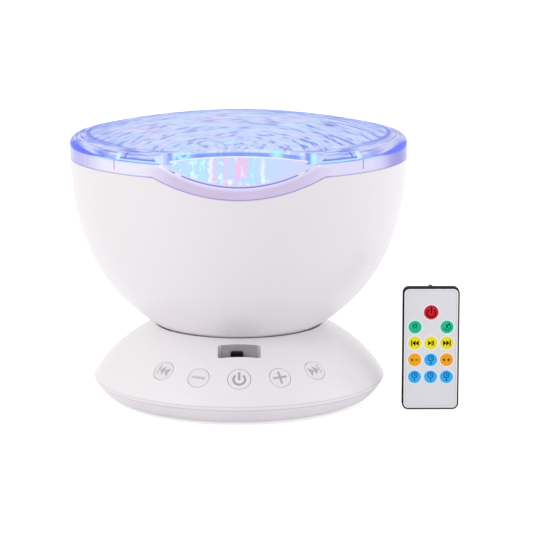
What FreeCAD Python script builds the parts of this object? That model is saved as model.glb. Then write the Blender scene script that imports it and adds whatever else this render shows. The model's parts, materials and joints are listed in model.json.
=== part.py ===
import FreeCAD, Part
import math
import os

V = FreeCAD.Vector

# Ripple light projector: a bowl-shaped lamp head that leans back in a flat round base, and its remote.
# Millimetres. +Z up, table top at z = 0, base axis on Z, front of the lamp towards -Y.

# Base, outside
foot_proud = 1.2
foot_radius = 5.6
foot_inset = 19.7
foot_pocket = 0.8
slope_width = 27.5
edge_inset = 9.3
seam_height = 10.1
belly_inset = 4.0
belly_height = 2.3
shoulder_inset = 7.7
shoulder_height = 24.2
rim_land = 0.314
rim_height = 34.2
shell_wall = 2.2
cover_wall = 2.0
seam_groove = 0.35

# Head, outside
ball_bottom_height = 24.3
ball_radius = 73.0
bowl_wall = 2.4
rim_flare = 2.0
rim_rise = 12.2
ring_height = 5.9
ring_wall = 4.8
tongue_gap = 0.8
tongue_depth = 3.0
ring_mark_width = 0.5
ring_mark_height = 4.0
ring_mark_depth = 0.5
lens_edge_wall = 0.4
lens_edge_round = 3.3
lens_cap_radius = 301.4
lens_wall = 2.2
skirt_gap = 2.6
skirt_wall = 1.8
skirt_drop = 0.5
skirt_gate = 5.0
clip_width = 5.0
clip_height = 5.0

# Sloping eye at the front of the rim
dip_inset = 9.5
dip_angle = 41.5
eye_inset = 7.65
eye_angle = 47.7
eye_lip = 0.6
window_wall = 2.0
window_gap = 0.1

# Ball seat and tilt
seat_gap = 0.6
seat_wall = 2.0
tilt_range = 25.0
seat_ring_drop = 7.0
seat_ring_span = 4.0
seat_ring_gap = 0.15
seat_ring_sunk = 0.85
seat_ring_bed = 0.45
post_radius = 3.0
post_bore = 1.4
post_spare = 1.3
slot_gap = 0.4
hub_radius = 8.0
hub_height = 4.0
bolt_head_across = 10.0
bolt_head_height = 3.0
saddle_radius = 10.0
saddle_height = 3.3
saddle_gap = 0.08
washer_radius = 7.0
washer_step = 0.8
washer_wall = 0.4
washer_count = 4
nut_across = 11.0
nut_height = 5.0
fit_gap = 0.05

# Base, inside
case_screw_inset = 15.7
case_screw_angles = (25, 155, 205, 335)
case_boss_radius = 3.6
case_screw_radius = 1.4
case_screw_head = 2.6
case_screw_sunk = 2.6
case_screw_length = 15.0
screw_head_height = 1.3
tongue_lap = 1.9
tongue_wall = 1.4
speaker_radius = 21.0
speaker_gap = 1.2
magnet_radius = 10.0
magnet_height = 4.0
frame_foot_width = 3.4
frame_foot_wall = 1.2
frame_shoulder = 2.4
cone_paper = 0.5
cone_cap_radius = 5.0
cone_cap_rise = 2.3
cone_depth = 2.9
cone_edge = 2.0
grille_hole = 1.1
grille_step = 4.5
grille_rings = 3
board_half_width = 26.0
board_inset = 12.2
board_length = 26.5
board_lift = 0.8
board_wall = 1.6
chip_place = (-1.0, 4.0, 10.0, 10.0, 1.6)
small_chip_place = (11.0, 5.0, 6.0, 5.0, 1.4)
plug_block_place = (-19.0, 11.0, 6.0, 4.0, 3.5)
can_radius = 2.6
can_height = 6.0
can_x = -14.0
can_inset = 6.0
board_screw_inset = 4.0
board_screw_back = 6.0
small_screw = 1.0
small_screw_head = 2.0
small_screw_length = 5.0

# Push buttons on the base
button_radius = 4.65
power_button_radius = 4.9
button_gap = 0.2
button_inset = 8.0
outer_button_inset = 9.1
button_pitch = 17.8
button_skin = 2.9
button_flange = 1.2
button_flange_wall = 0.8
button_stem = 1.6
button_stem_length = 3.3
button_travel = 0.4
button_play = 0.05
switch_size = 6.0
switch_height = 3.4
plunger_height = 0.9
bracket_wall = 1.6
bracket_half_width = 4.4
bracket_spare_angle = 6.0
bracket_rib_wall = 2.0
bracket_root = 0.3

# Infrared pocket at the front
pocket_half_width = 9.3
pocket_length = 6.7
pocket_step = 9.3
pocket_drop = 10.2
pocket_wall = 0.8
pocket_corner = 1.2
receiver_width = 5.4
receiver_depth = 3.4
receiver_height = 5.5
receiver_offset = -1.0

# Sockets at the back
bay_half_width = 15.0
bay_depth = 9.7
bay_wall = 1.6
bay_side_wall = 1.2
bay_gap = 0.3
jack_x = 8.0
jack_bore = 1.8
jack_bore_depth = 12.6
jack_width = 7.0
jack_depth = 12.0
jack_height = 6.0
jack_ferrule = 2.9
jack_ferrule_proud = 0.4
usb_x = -9.0
usb_width = 7.6
usb_height = 2.9
usb_depth = 6.0
usb_skin = 0.35
usb_tongue_wall = 0.7

# Head, inside
chassis_drop = 19.3
chassis_wall = 2.0
chassis_gap = 0.5
ledge_width = 6.4
ledge_wall = 2.4
ledge_root = 0.5
ledge_boss_inset = 4.4
ledge_boss_radius = 2.6
ledge_boss_height = 5.0
head_screw_radius = 1.2
head_screw_head = 2.2
head_screw_length = 6.5
led_board_radius = 45.0
air_slot_width = 6.0
air_slot_half = 14.0
air_slot_inset = 4.0
led_board_hole = 9.0
led_board_lift = 2.0
led_post_inset = 5.0
led_post_radius = 3.0
led_screw_grip = 1.5
led_count = 12
led_circle = 30.0
led_size = 3.5
led_base = 0.8
led_dome = 1.4
cone_foot_gap = 2.5
cone_top_rise = 6.7
cone_top_gap = 0.8
cone_wall = 1.2
cone_flange = 3.0
cone_lip = 1.0
motor_radius = 12.0
motor_height = 14.5
motor_boss = 3.5
motor_ear_reach = 18.0
motor_ear_width = 9.0
motor_ear_wall = 1.2
motor_screw_x = 14.5
shaft_radius = 1.5
shaft_sunk = 8.0
shaft_cover = 2.0
disc_hub_radius = 7.0
disc_hub_gap = 1.4
disc_rise = 21.0
disc_wall = 2.2
disc_gap = 3.6
disc_flange = 10.0
disc_flange_wall = 2.0
spigot_radius = 3.0
spigot_proud = 0.8

# Remote
remote_side_gap = 0.6
remote_top_space = 11.2
remote_depth = 5.4
remote_corner = 2.8
remote_round = 0.5
remote_back_round = 1.6
remote_x = 84.55
remote_y = -30.0
remote_rim = 0.65
remote_wall = 1.6
remote_back_wall = 0.65
face_wall = 0.8
face_sunk = 0.1
face_gap = 0.05
key_radius = 2.8
power_key_radius = 3.15
key_gap = 0.15
key_space = 0.45
lowest_key_height = 14.8
key_row_steps = (0.65, 0.55, 0.15, -0.45)
key_proud = 0.25
key_flange = 0.5
key_flange_wall = 0.4
key_play = 0.05
key_travel = 0.25
dome_radius = 1.7
dome_height = 0.25
remote_board_wall = 0.6
board_gap = 0.2
remote_board_space = 4.5
remote_chip_half = 3.5
remote_chip_wall = 1.1
remote_chip_foot = 31.5
remote_led_radius = 1.1
remote_led_x = -0.3
remote_led_proud = 0.8
cell_radius = 8.0
cell_height = 1.6
tray_low = 5.0
tray_high = 23.0
tray_wall = 1.9
tray_gap = 0.1

FRONT = -90.0
FAR = 200.0

# Heights and radii that follow from the sizes above
tilt_axis_height = ball_bottom_height + ball_radius
TILT_CENTRE = V(0, 0, tilt_axis_height)
seat_radius = ball_radius + seat_gap
seat_circle = math.sqrt(seat_radius ** 2 - (tilt_axis_height - rim_height) ** 2)
rim_radius = seat_circle + rim_land
base_radius = rim_radius + slope_width
seat_ring_angle = math.degrees(math.asin(seat_circle / seat_radius)) - seat_ring_drop
base_edge_radius = base_radius - edge_inset
belly_radius = base_radius - belly_inset
shoulder_radius = base_radius - shoulder_inset
bowl_rim_radius = ball_radius + rim_flare
bowl_rim_height = tilt_axis_height + rim_rise
ring_top = bowl_rim_height + ring_height
ring_inner_radius = bowl_rim_radius - ring_wall
tongue_radius = bowl_rim_radius - bowl_wall - tongue_gap
skirt_radius = ring_inner_radius - skirt_gap
dip_start = bowl_rim_radius - dip_inset
eye_start = bowl_rim_radius - eye_inset


# Plain solids

def tube(inner, outer, low, high):
    ring = Part.makeCylinder(outer, high - low, V(0, 0, low))
    return ring.cut(Part.makeCylinder(inner, high - low, V(0, 0, low)))


def rod(radius, low, high, x=0.0, y=0.0):
    return Part.makeCylinder(radius, high - low, V(x, y, low))


def block(x_low, x_high, y_low, y_high, z_low, z_high):
    corner = V(x_low, y_low, z_low)
    return Part.makeBox(x_high - x_low, y_high - y_low, z_high - z_low, corner)


def ball(radius):
    return Part.makeSphere(radius, TILT_CENTRE)


def hexagon(across, low, high):
    corners = []
    for step in range(7):
        angle = math.radians(60 * step + 30)
        reach = across / math.sqrt(3)
        corners.append(V(reach * math.cos(angle), reach * math.sin(angle), low))
    return Part.Face(Part.makePolygon(corners)).extrude(V(0, 0, high - low))


def side_prism(points, half_width=FAR):
    corners = [V(-half_width, y, z) for y, z in points]
    face = Part.Face(Part.makePolygon(corners + corners[:1]))
    return face.extrude(V(2 * half_width, 0, 0))


def plate(width, low, high, corner, front, back):
    # upright plate with round corners, its faces square to Y
    outer = block(-width / 2, width / 2, front, back, low, high)
    upright = [edge for edge in outer.Edges if abs(edge.tangentAt(edge.FirstParameter).y) > 0.99]
    return outer.makeFillet(corner, upright)


def join(shapes):
    whole = shapes[0]
    if len(shapes) > 1:
        whole = whole.fuse(shapes[1:])
    return whole.removeSplitter()


def around(shape, angle):
    turned = shape.copy()
    turned.rotate(V(0, 0, 0), V(0, 0, 1), angle)
    return turned


def polar(radius, angle):
    return radius * math.cos(math.radians(angle)), radius * math.sin(math.radians(angle))


class Outline:
    # closed outline in the plane of radius and height, turned about the base axis

    def __init__(self, radius, height):
        self.first = V(radius, 0, height)
        self.last = self.first
        self.edges = []

    def add(self, curve, end):
        self.edges.append(curve.toShape())
        self.last = end
        return self

    def line(self, radius, height):
        end = V(radius, 0, height)
        return self.add(Part.LineSegment(self.last, end), end)

    def curve(self, control, end):
        poles = [self.last, V(control[0], 0, control[1]), V(end[0], 0, end[1])]
        bend = Part.BezierCurve()
        bend.setPoles(poles)
        return self.add(bend, poles[2])

    def arc(self, centre, end):
        middle_of_arc = V(centre[0], 0, centre[1])
        stop = V(end[0], 0, end[1])
        reach = (self.last - middle_of_arc).Length
        chord = (self.last + stop) * 0.5 - middle_of_arc
        middle = middle_of_arc + chord.normalize() * reach
        return self.add(Part.Arc(self.last, middle, stop), stop)

    def solid(self):
        if (self.last - self.first).Length > 1e-7:
            self.line(self.first.x, self.first.z)
        return Part.Face(Part.Wire(self.edges)).revolve(V(0, 0, 0), V(0, 0, 1), 360)


# Curves of the base

def crossing(point, direction, other, heading):
    across = direction[0] * heading[1] - direction[1] * heading[0]
    gap = (other[0] - point[0], other[1] - point[1])
    along = (gap[0] * heading[1] - gap[1] * heading[0]) / across
    return point[0] + along * direction[0], point[1] + along * direction[1]


def inset_curve(first, control, last, wall):
    # the three poles moved inwards by the wall, square to the two legs
    def moved(start, end, point):
        run = (end[0] - start[0], end[1] - start[1])
        size = math.hypot(*run)
        run = (run[0] / size, run[1] / size)
        return (point[0] - run[1] * wall, point[1] + run[0] * wall), run

    start, leg = moved(first, control, first)
    stop, next_leg = moved(control, last, last)
    return start, leg, crossing(start, leg, stop, next_leg), stop, next_leg


shell_first = (base_radius, seam_height)
shell_control = (shoulder_radius, shoulder_height)
shell_last = (rim_radius, rim_height)
cover_first = (base_edge_radius, foot_proud)
cover_control = (belly_radius, belly_height)
cover_last = (base_radius, seam_height)
cover_floor = foot_proud + cover_wall


def shell_volume():
    outline = Outline(0, seam_height).line(*shell_first)
    outline.curve(shell_control, shell_last).line(0, rim_height)
    return outline.solid()


def shell_hollow():
    start, leg, control, stop, _ = inset_curve(shell_first, shell_control, shell_last, shell_wall)
    start = crossing(start, leg, (0, seam_height), (1, 0))
    outline = Outline(0, seam_height).line(*start)
    outline.curve(control, stop).line(0, stop[1])
    return outline.solid().cut(ball(ball_radius + seat_gap + seat_wall))


def cover_volume():
    outline = Outline(0, foot_proud).line(*cover_first)
    outline.curve(cover_control, cover_last).line(0, seam_height)
    return outline.solid()


def cover_hollow():
    start, leg, control, stop, last_leg = inset_curve(cover_first, cover_control, cover_last, cover_wall)
    stop = crossing(stop, last_leg, (0, seam_height), (1, 0))
    start = crossing(control, leg, (0, cover_floor), (1, 0))
    outline = Outline(0, cover_floor).line(*start)
    outline.curve(control, stop).line(0, seam_height)
    return outline.solid()


def slope_at(radius):
    # height of the shell's curve at a radius, and the lean of its normal from upright
    r0, r1, r2 = shell_first[0], shell_control[0], shell_last[0]
    z0, z1, z2 = shell_first[1], shell_control[1], shell_last[1]
    square = r0 - 2 * r1 + r2
    linear = 2 * (r1 - r0)
    share = (-linear - math.sqrt(linear ** 2 - 4 * square * (r0 - radius))) / (2 * square)
    height = (1 - share) ** 2 * z0 + 2 * share * (1 - share) * z1 + share ** 2 * z2
    run = 2 * ((1 - share) * (r1 - r0) + share * (r2 - r1))
    rise = 2 * ((1 - share) * (z1 - z0) + share * (z2 - z1))
    return height, math.degrees(math.atan2(rise, -run))


def on_slope(shape, radius, angle):
    # a shape drawn about its own +Z is stood on the shell, square to its surface
    height, lean = slope_at(radius)
    x, y = polar(radius, angle)
    turn = FreeCAD.Rotation(V(0, 0, 1), angle).multiply(FreeCAD.Rotation(V(0, 1, 0), lean))
    placed = shape.copy()
    placed.Placement = FreeCAD.Placement(V(x, y, height), turn)
    return placed


# Places that several pieces share

button_names = ("previous", "minus", "power", "plus", "next")
button_angles = [FRONT + button_pitch * (place - 2) for place in range(len(button_names))]
button_circle = base_radius - button_inset
outer_button_circle = base_radius - outer_button_inset
button_circles = [outer_button_circle, button_circle, button_circle, button_circle, outer_button_circle]
button_radii = [power_button_radius if name == "power" else button_radius for name in button_names]
pocket_front = button_circle - pocket_step
pocket_back = pocket_front - pocket_length
seat_bottom = ball_bottom_height - seat_gap
hub_foot = seat_bottom - hub_height
saddle_top = ball_bottom_height + bowl_wall + saddle_height
nut_foot = saddle_top + washer_count * washer_step
speaker_height = hub_foot - bolt_head_height - speaker_gap - cover_floor
board_back = base_radius - board_inset
board_front = board_back - board_length
board_height = seam_height + board_lift
board_top = board_height + board_wall
board_screw_x = board_half_width - board_screw_inset
board_screws = [(x, y) for x in (-board_screw_x, board_screw_x)
                for y in (board_front + board_screw_inset, board_back - board_screw_back)]
bay_wall_place = base_radius - bay_depth
bay_floor = seam_height + bay_wall
bore_axis_height = board_top + jack_height / 2
pocket_floor = rim_height - pocket_drop

# Places in the head

def ball_reach(height):
    # radius of the ball's inner face at a height
    return math.sqrt((ball_radius - bowl_wall) ** 2 - (tilt_axis_height - height) ** 2)


chassis_height = tilt_axis_height - chassis_drop
chassis_top = chassis_height + chassis_wall
chassis_radius = ball_reach(chassis_height) - chassis_gap
ledge_outer_radius = ball_reach(chassis_height) + ledge_root
ledge_inner_radius = ledge_outer_radius - ledge_width
ledge_boss_circle = ledge_outer_radius - ledge_boss_inset
led_board_height = chassis_top + led_board_lift
led_board_top = led_board_height + board_wall
cone_foot_radius = led_board_radius + cone_foot_gap
cone_top_height = tilt_axis_height + cone_top_rise
cone_top_radius = ball_reach(cone_top_height) - cone_top_gap - cone_flange - cone_lip
disc_height = chassis_height + disc_rise
disc_share = (disc_height - chassis_top) / (cone_top_height - chassis_top)
disc_radius = cone_foot_radius + (cone_top_radius - cone_foot_radius) * disc_share - disc_gap
disc_hub_foot = led_board_top + disc_hub_gap
shaft_foot = chassis_height - shaft_sunk
shaft_top = disc_height - shaft_cover
led_posts = [polar(led_board_radius - led_post_inset, 45 + 90 * turn) for turn in range(4)]
ledge_screws = [polar(ledge_boss_circle, 30 + 120 * turn) for turn in range(3)]
motor_screws = [(-motor_screw_x, 0.0), (motor_screw_x, 0.0)]
clip_angles = [45 + 90 * turn for turn in range(4)]


def case_points():
    return [polar(base_radius - case_screw_inset, angle) for angle in case_screw_angles]


def bay_block():
    return block(-bay_half_width, bay_half_width, bay_wall_place - bay_wall, FAR, seam_height, FAR)


def pocket_block(spare, floor):
    outer = block(-pocket_half_width - spare, pocket_half_width + spare,
                  -pocket_front - spare, -pocket_back + spare, floor, FAR)
    upright = [edge for edge in outer.Edges if abs(edge.tangentAt(edge.FirstParameter).z) > 0.99]
    return outer.makeFillet(pocket_corner + spare, upright)


def seam_line():
    half = seam_groove / 2
    return tube(base_radius - seam_groove, base_radius + 1, seam_height - half, seam_height + half)


# Base pieces

def seat_band(inner, outer, spare=0.0):
    # band of a ball shell about the tilt centre, round the seat
    low = math.radians(seat_ring_angle - seat_ring_span / 2 - spare)
    high = math.radians(seat_ring_angle + seat_ring_span / 2 + spare)

    def at(reach, angle):
        return reach * math.sin(angle), tilt_axis_height - reach * math.cos(angle)

    centre = (0, tilt_axis_height)
    outline = Outline(*at(outer, low)).arc(centre, at(outer, high)).line(*at(inner, high))
    return outline.arc(centre, at(inner, low)).solid()


def base_shell():
    shell = shell_volume().cut(shell_hollow())
    bosses = [rod(case_boss_radius, seam_height, FAR, x, y) for x, y in case_points()]
    bosses = [boss.common(shell_volume()) for boss in bosses]
    hub = rod(hub_radius, hub_foot, seat_bottom + 1)
    shell = join([shell, hub] + bosses)
    pocket = pocket_block(pocket_wall, pocket_floor - pocket_wall)
    groove_floor = ball_radius + seat_ring_gap + seat_ring_sunk + seat_ring_bed
    cuts = [ball(seat_radius), bay_block(), pocket, seam_line()]
    cuts.append(seat_band(seat_radius - 1, groove_floor, 0.1))
    cuts.append(rod(post_radius + fit_gap, 0, FAR))
    hole_top = seam_height + case_screw_length - 5
    cuts += [rod(case_screw_radius + fit_gap, seam_height, hole_top, x, y) for x, y in case_points()]
    for circle, angle, radius in zip(button_circles, button_angles, button_radii):
        hole = rod(radius + button_gap, -button_skin - 2, 10)
        cuts.append(on_slope(hole, circle, angle))
    return shell.cut(cuts)


def base_cover():
    cover = cover_volume().cut(cover_hollow())
    start, leg, _, _, _ = inset_curve(shell_first, shell_control, shell_last, shell_wall)
    lap_radius = crossing(start, leg, (0, seam_height + tongue_lap), (1, 0))[0] - 3 * fit_gap
    tongue = tube(lap_radius - tongue_wall, lap_radius, seam_height - tongue_lap, seam_height + tongue_lap)
    step = tube(lap_radius - tongue_wall, base_radius - cover_wall, seam_height - tongue_lap, seam_height)
    gate = block(-bay_half_width - bay_gap, bay_half_width + bay_gap, 0, FAR, seam_height, FAR)
    tongue = tongue.cut(gate)
    bosses = [rod(case_boss_radius, foot_proud, seam_height, x, y) for x, y in case_points()]
    posts = [rod(small_screw * 2.6, cover_floor, board_height, x, y) for x, y in board_screws]
    cover = join([cover, tongue, step] + bosses + posts)
    cuts = [seam_line()]
    for x, y in case_points():
        cuts.append(rod(case_screw_head + 0.3, foot_proud, foot_proud + case_screw_sunk, x, y))
        cuts.append(rod(case_screw_radius + 3 * fit_gap, foot_proud, seam_height, x, y))
    for x, y in board_screws:
        cuts.append(rod(small_screw + fit_gap, board_height - small_screw_length, board_height, x, y))
    for turn in range(4):
        x, y = polar(base_radius - foot_inset, 45 + 90 * turn)
        cuts.append(rod(foot_radius + 2 * fit_gap, foot_proud, foot_proud + foot_pocket, x, y))
    cuts.append(rod(grille_hole, foot_proud, cover_floor))
    for ring in range(1, grille_rings + 1):
        for place in range(6 * ring):
            x, y = polar(ring * grille_step, 60 * place / ring)
            cuts.append(rod(grille_hole, foot_proud, cover_floor, x, y))
    return cover.cut(cuts)


def rubber_feet():
    feet = []
    for turn in range(4):
        x, y = polar(base_radius - foot_inset, 45 + 90 * turn)
        foot = rod(foot_radius, 0, foot_proud + foot_pocket, x, y)
        bottom = [edge for edge in foot.Edges if edge.BoundBox.ZMax < 0.01]
        feet.append(foot.makeChamfer(0.4, bottom))
    return Part.makeCompound(feet)


def flat_screw(radius, head, length, seat, x, y, upwards=1):
    # a screw whose head bears at the height seat, with its shank going up or down from there
    shank_end = seat + upwards * length
    head_end = seat - upwards * screw_head_height
    shank = rod(radius, min(seat, shank_end), max(seat, shank_end), x, y)
    cap = rod(head, min(seat, head_end), max(seat, head_end), x, y)
    return join([cap, shank])


def small_flat_screw(length, seat, x, y):
    return flat_screw(small_screw, small_screw_head, length, seat, x, y, -1)


def case_screws():
    seat = foot_proud + case_screw_sunk
    return Part.makeCompound([flat_screw(case_screw_radius, case_screw_head, case_screw_length, seat, x, y)
                              for x, y in case_points()])


def seat_ring():
    inner = ball_radius + seat_ring_gap
    return seat_band(inner, inner + seat_ring_sunk + seat_ring_bed - fit_gap)


def tilt_post():
    post = join([hexagon(bolt_head_across, hub_foot - bolt_head_height, hub_foot),
                 rod(post_radius, hub_foot, nut_foot + nut_height + post_spare)])
    return post.cut(rod(post_bore, 0, FAR))


def tilt_saddle():
    reach = ball_radius - bowl_wall - saddle_gap

    def under(radius):
        return tilt_axis_height - math.sqrt(reach ** 2 - radius ** 2)

    bore = post_radius + fit_gap
    outline = Outline(bore, under(bore)).arc((0, tilt_axis_height), (saddle_radius, under(saddle_radius)))
    outline.line(saddle_radius, saddle_top - 1).line(saddle_radius - 1, saddle_top)
    return outline.line(bore, saddle_top).solid()


def disc_springs():
    washers = []
    inner = post_radius + 4 * fit_gap
    for place in range(washer_count):
        low = saddle_top + place * washer_step
        flat = washer_step - washer_wall
        rising = place % 2
        inside = low if rising else low + flat
        outside = low + flat if rising else low
        outline = Outline(inner, inside).line(washer_radius, outside)
        outline.line(washer_radius, outside + washer_wall).line(inner, inside + washer_wall)
        washers.append(outline.solid())
    return Part.makeCompound(washers)


def tilt_nut():
    return hexagon(nut_across, nut_foot, nut_foot + nut_height).cut(rod(post_radius + fit_gap, 0, FAR))


def speaker_frame():
    low = cover_floor
    top = low + speaker_height - magnet_height
    foot_top = low + frame_foot_wall
    inner = speaker_radius - frame_foot_width
    neck = magnet_radius + 1
    outline = Outline(inner, low).line(speaker_radius, low).line(speaker_radius, foot_top)
    outline.line(speaker_radius - frame_shoulder, foot_top).line(neck, top - 1).line(neck, top)
    outline.line(magnet_radius - 4, top).line(magnet_radius - 4, top - 1).line(magnet_radius, top - 1)
    return outline.line(inner, foot_top).solid()


def speaker_magnet():
    low = cover_floor + speaker_height - magnet_height
    return tube(2.0, magnet_radius, low, low + magnet_height)


def speaker_cone():
    low = cover_floor + cone_paper
    edge = speaker_radius - frame_foot_width - fit_gap
    roll = edge - cone_edge
    outline = Outline(0, low + cone_cap_rise).line(cone_cap_radius, low + cone_depth).line(roll, low)
    outline.line(edge, low).line(edge, low + cone_paper).line(roll, low + cone_paper)
    outline.line(cone_cap_radius, low + cone_depth + cone_paper)
    return outline.line(0, low + cone_cap_rise + cone_paper).solid()


def board_part(x, inset, width, length, height):
    # a block on the circuit board: its middle across, its distance from the front edge and its size
    return block(x - width / 2, x + width / 2, board_front + inset, board_front + inset + length,
                 board_top, board_top + height)


def main_board():
    board = block(-board_half_width, board_half_width, board_front, board_back, board_height, board_top)
    hole = small_screw + 2 * fit_gap
    board = board.cut([rod(hole, board_height, board_top, x, y) for x, y in board_screws])
    parts = [board_part(*place) for place in (chip_place, small_chip_place, plug_block_place)]
    can = rod(can_radius, board_top, board_top + can_height, can_x, board_front + can_inset)
    return join([board, can] + parts)


def small_screws():
    return Part.makeCompound([small_flat_screw(small_screw_length, board_top, x, y) for x, y in board_screws])


def push_button(circle, angle, radius):
    cap = rod(radius, -button_skin, 10)
    cap = on_slope(cap, circle, angle).common(shell_volume())
    flange = rod(radius + button_flange, -button_skin - button_flange_wall, -button_skin)
    stem = rod(button_stem, -button_skin - button_flange_wall - button_stem_length, -button_skin)
    return join([cap, on_slope(join([flange, stem]), circle, angle)])


stem_end = button_skin + button_flange_wall + button_stem_length
plunger_top = stem_end + button_travel + button_play
switch_top = plunger_top + plunger_height
switch_foot = switch_top + switch_height


def button_switches():
    switches = []
    half = switch_size / 2
    for circle, angle in zip(button_circles, button_angles):
        body = block(-half, half, -half, half, -switch_foot, -switch_top)
        plunger = rod(button_stem + 0.1, -switch_top, -plunger_top)
        switches.append(on_slope(join([body, plunger]), circle, angle))
    return Part.makeCompound(switches)


def button_bracket():
    height, lean = slope_at(button_circle)
    normal = (math.sin(math.radians(lean)), math.cos(math.radians(lean)))
    along = (-normal[1], normal[0])

    def at(run, depth):
        return (button_circle - normal[0] * depth + along[0] * run,
                height - normal[1] * depth + along[1] * run)

    top = switch_foot - bracket_root
    low = top + bracket_wall + bracket_root
    reach = bracket_half_width
    corners = [at(-reach, top), at(reach, top), at(reach, low), at(-reach, low)]
    points = [V(radius, 0, z) for radius, z in corners]
    section = Part.Face(Part.makePolygon(points + points[:1]))
    sweep = 4 * button_pitch + 2 * bracket_spare_angle
    strip = section.revolve(V(0, 0, 0), V(0, 0, 1), sweep)
    strip = around(strip, FRONT - sweep / 2)
    inner, outer = at(reach - 0.5, low), at(0.5 - reach, low)
    side = -bracket_rib_wall / 2
    feet = [V(inner[0], side, cover_floor), V(outer[0], side, cover_floor),
            V(outer[0], side, outer[1] + bracket_root), V(inner[0], side, inner[1] + bracket_root)]
    rib_face = Part.Face(Part.makePolygon(feet + feet[:1]))
    ribs = []
    for place in range(4):
        rib = rib_face.extrude(V(0, bracket_rib_wall, 0))
        ribs.append(around(rib, FRONT + button_pitch * (place - 1.5)))
    bracket = join([strip] + ribs)
    half = switch_size / 2 + 0.1
    seats = [on_slope(block(-half, half, -half, half, -switch_foot, 0), circle, angle)
             for circle, angle in zip(button_circles, button_angles)]
    return bracket.cut(seats)


def ir_window():
    liner = pocket_block(pocket_wall, pocket_floor - pocket_wall).common(shell_volume())
    return liner.cut(pocket_block(0, pocket_floor))


def ir_receiver():
    left = receiver_offset - receiver_width / 2
    body = block(left, left + receiver_width, -pocket_back - receiver_depth - 0.3, -pocket_back - 0.3,
                 pocket_floor, pocket_floor + receiver_height)
    top = [edge for edge in body.Edges if edge.BoundBox.ZMin > pocket_floor + receiver_height - 0.01]
    body = body.makeChamfer(0.4, top)
    bulge = Part.makeSphere(1.5, V(receiver_offset, -pocket_back - receiver_depth - 0.3,
                                   pocket_floor + receiver_height - 2.6))
    return join([body, bulge])


def socket_bay():
    bay = bay_block().common(shell_volume())
    reach = bay_half_width - bay_side_wall
    inside = block(-reach, reach, bay_wall_place, FAR, bay_floor, FAR)
    behind = bay_wall_place - bay_wall - 1
    jack_start = V(jack_x, behind, bore_axis_height)
    jack_hole = Part.makeCylinder(jack_ferrule + fit_gap, bay_wall + 2, jack_start, V(0, 1, 0))
    half = usb_width / 2 + 2 * fit_gap
    usb_hole = block(usb_x - half, usb_x + half, behind, bay_wall_place + 1,
                     board_top - 2 * fit_gap, board_top + usb_height + 2 * fit_gap)
    return bay.cut([inside, jack_hole, usb_hole])


def audio_jack():
    face = bay_wall_place - bay_wall
    body = block(jack_x - jack_width / 2, jack_x + jack_width / 2, face - jack_depth, face,
                 board_top, board_top + jack_height)
    mouth = bay_wall_place + jack_ferrule_proud
    ferrule = Part.makeCylinder(jack_ferrule, mouth - face, V(jack_x, face, bore_axis_height), V(0, 1, 0))
    bore = Part.makeCylinder(jack_bore, jack_bore_depth, V(jack_x, mouth, bore_axis_height), V(0, -1, 0))
    return join([body, ferrule]).cut(bore)


def usb_socket():
    half = usb_width / 2
    mouth = bay_wall_place + 0.2
    outer = block(usb_x - half, usb_x + half, mouth - usb_depth, mouth, board_top, board_top + usb_height)
    inner = block(usb_x - half + usb_skin, usb_x + half - usb_skin, mouth - usb_depth + 1, mouth,
                  board_top + usb_skin, board_top + usb_height - usb_skin)
    middle = board_top + usb_height / 2 + 0.3
    tongue = block(usb_x - half + 1.4, usb_x + half - 1.4, mouth - usb_depth + 0.5, mouth - 0.8,
                   middle - usb_tongue_wall / 2, middle + usb_tongue_wall / 2)
    return join([outer.cut(inner), tongue])


# Head pieces

def flare():
    # the arc that carries the bowl on from its ball to its upright rim: its centre and its radius,
    # and the angle from straight down at which it leaves the ball
    rise = bowl_rim_height - tilt_axis_height
    lean = math.pi / 2 - 2 * math.atan((bowl_rim_radius - ball_radius) / rise)
    return (-rise * math.tan(lean), bowl_rim_height), ball_radius + rise / math.cos(lean), lean


def bowl_volume(inset=0.0):
    centre, radius, lean = flare()
    reach = ball_radius - inset
    meet = (reach * math.sin(lean), tilt_axis_height - reach * math.cos(lean))
    outline = Outline(0, tilt_axis_height - reach).arc((0, tilt_axis_height), meet)
    outline.arc(centre, (centre[0] + radius - inset, bowl_rim_height))
    return outline.line(0, bowl_rim_height).solid()


def dip_height(y):
    return bowl_rim_height + (y + dip_start) * math.tan(math.radians(dip_angle))


def eye_height(y, sunk=0.0):
    slope = math.radians(eye_angle)
    return ring_top + (y + eye_start) * math.tan(slope) - sunk / math.cos(slope)


def over_dip(drop=0.0):
    # all that lies above the bowl's edge, which slopes down at the front
    return side_prism([(FAR, bowl_rim_height - drop), (-dip_start, bowl_rim_height - drop),
                       (-FAR, dip_height(-FAR) - drop), (-FAR, 2 * FAR), (FAR, 2 * FAR)])


def over_eye(sunk=0.0):
    return side_prism([(0, eye_height(0, sunk)), (-FAR, eye_height(-FAR, sunk)),
                       (-FAR, 2 * FAR), (0, 2 * FAR)])


def tilt_slot():
    # the way that the post needs through the bowl's floor over the whole tilt
    half = post_radius + slot_gap
    low = ball_bottom_height - bowl_wall
    high = ball_bottom_height + 3 * bowl_wall
    corners = [V(-half, 0, low), V(half, 0, low), V(half, 0, high), V(-half, 0, high)]
    swept = Part.Face(Part.makePolygon(corners + corners[:1]))
    swept = swept.revolve(TILT_CENTRE, V(1, 0, 0), tilt_range)
    first = rod(half, low, high)
    last = first.copy()
    last.rotate(TILT_CENTRE, V(1, 0, 0), tilt_range)
    return join([swept, first, last])


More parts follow.
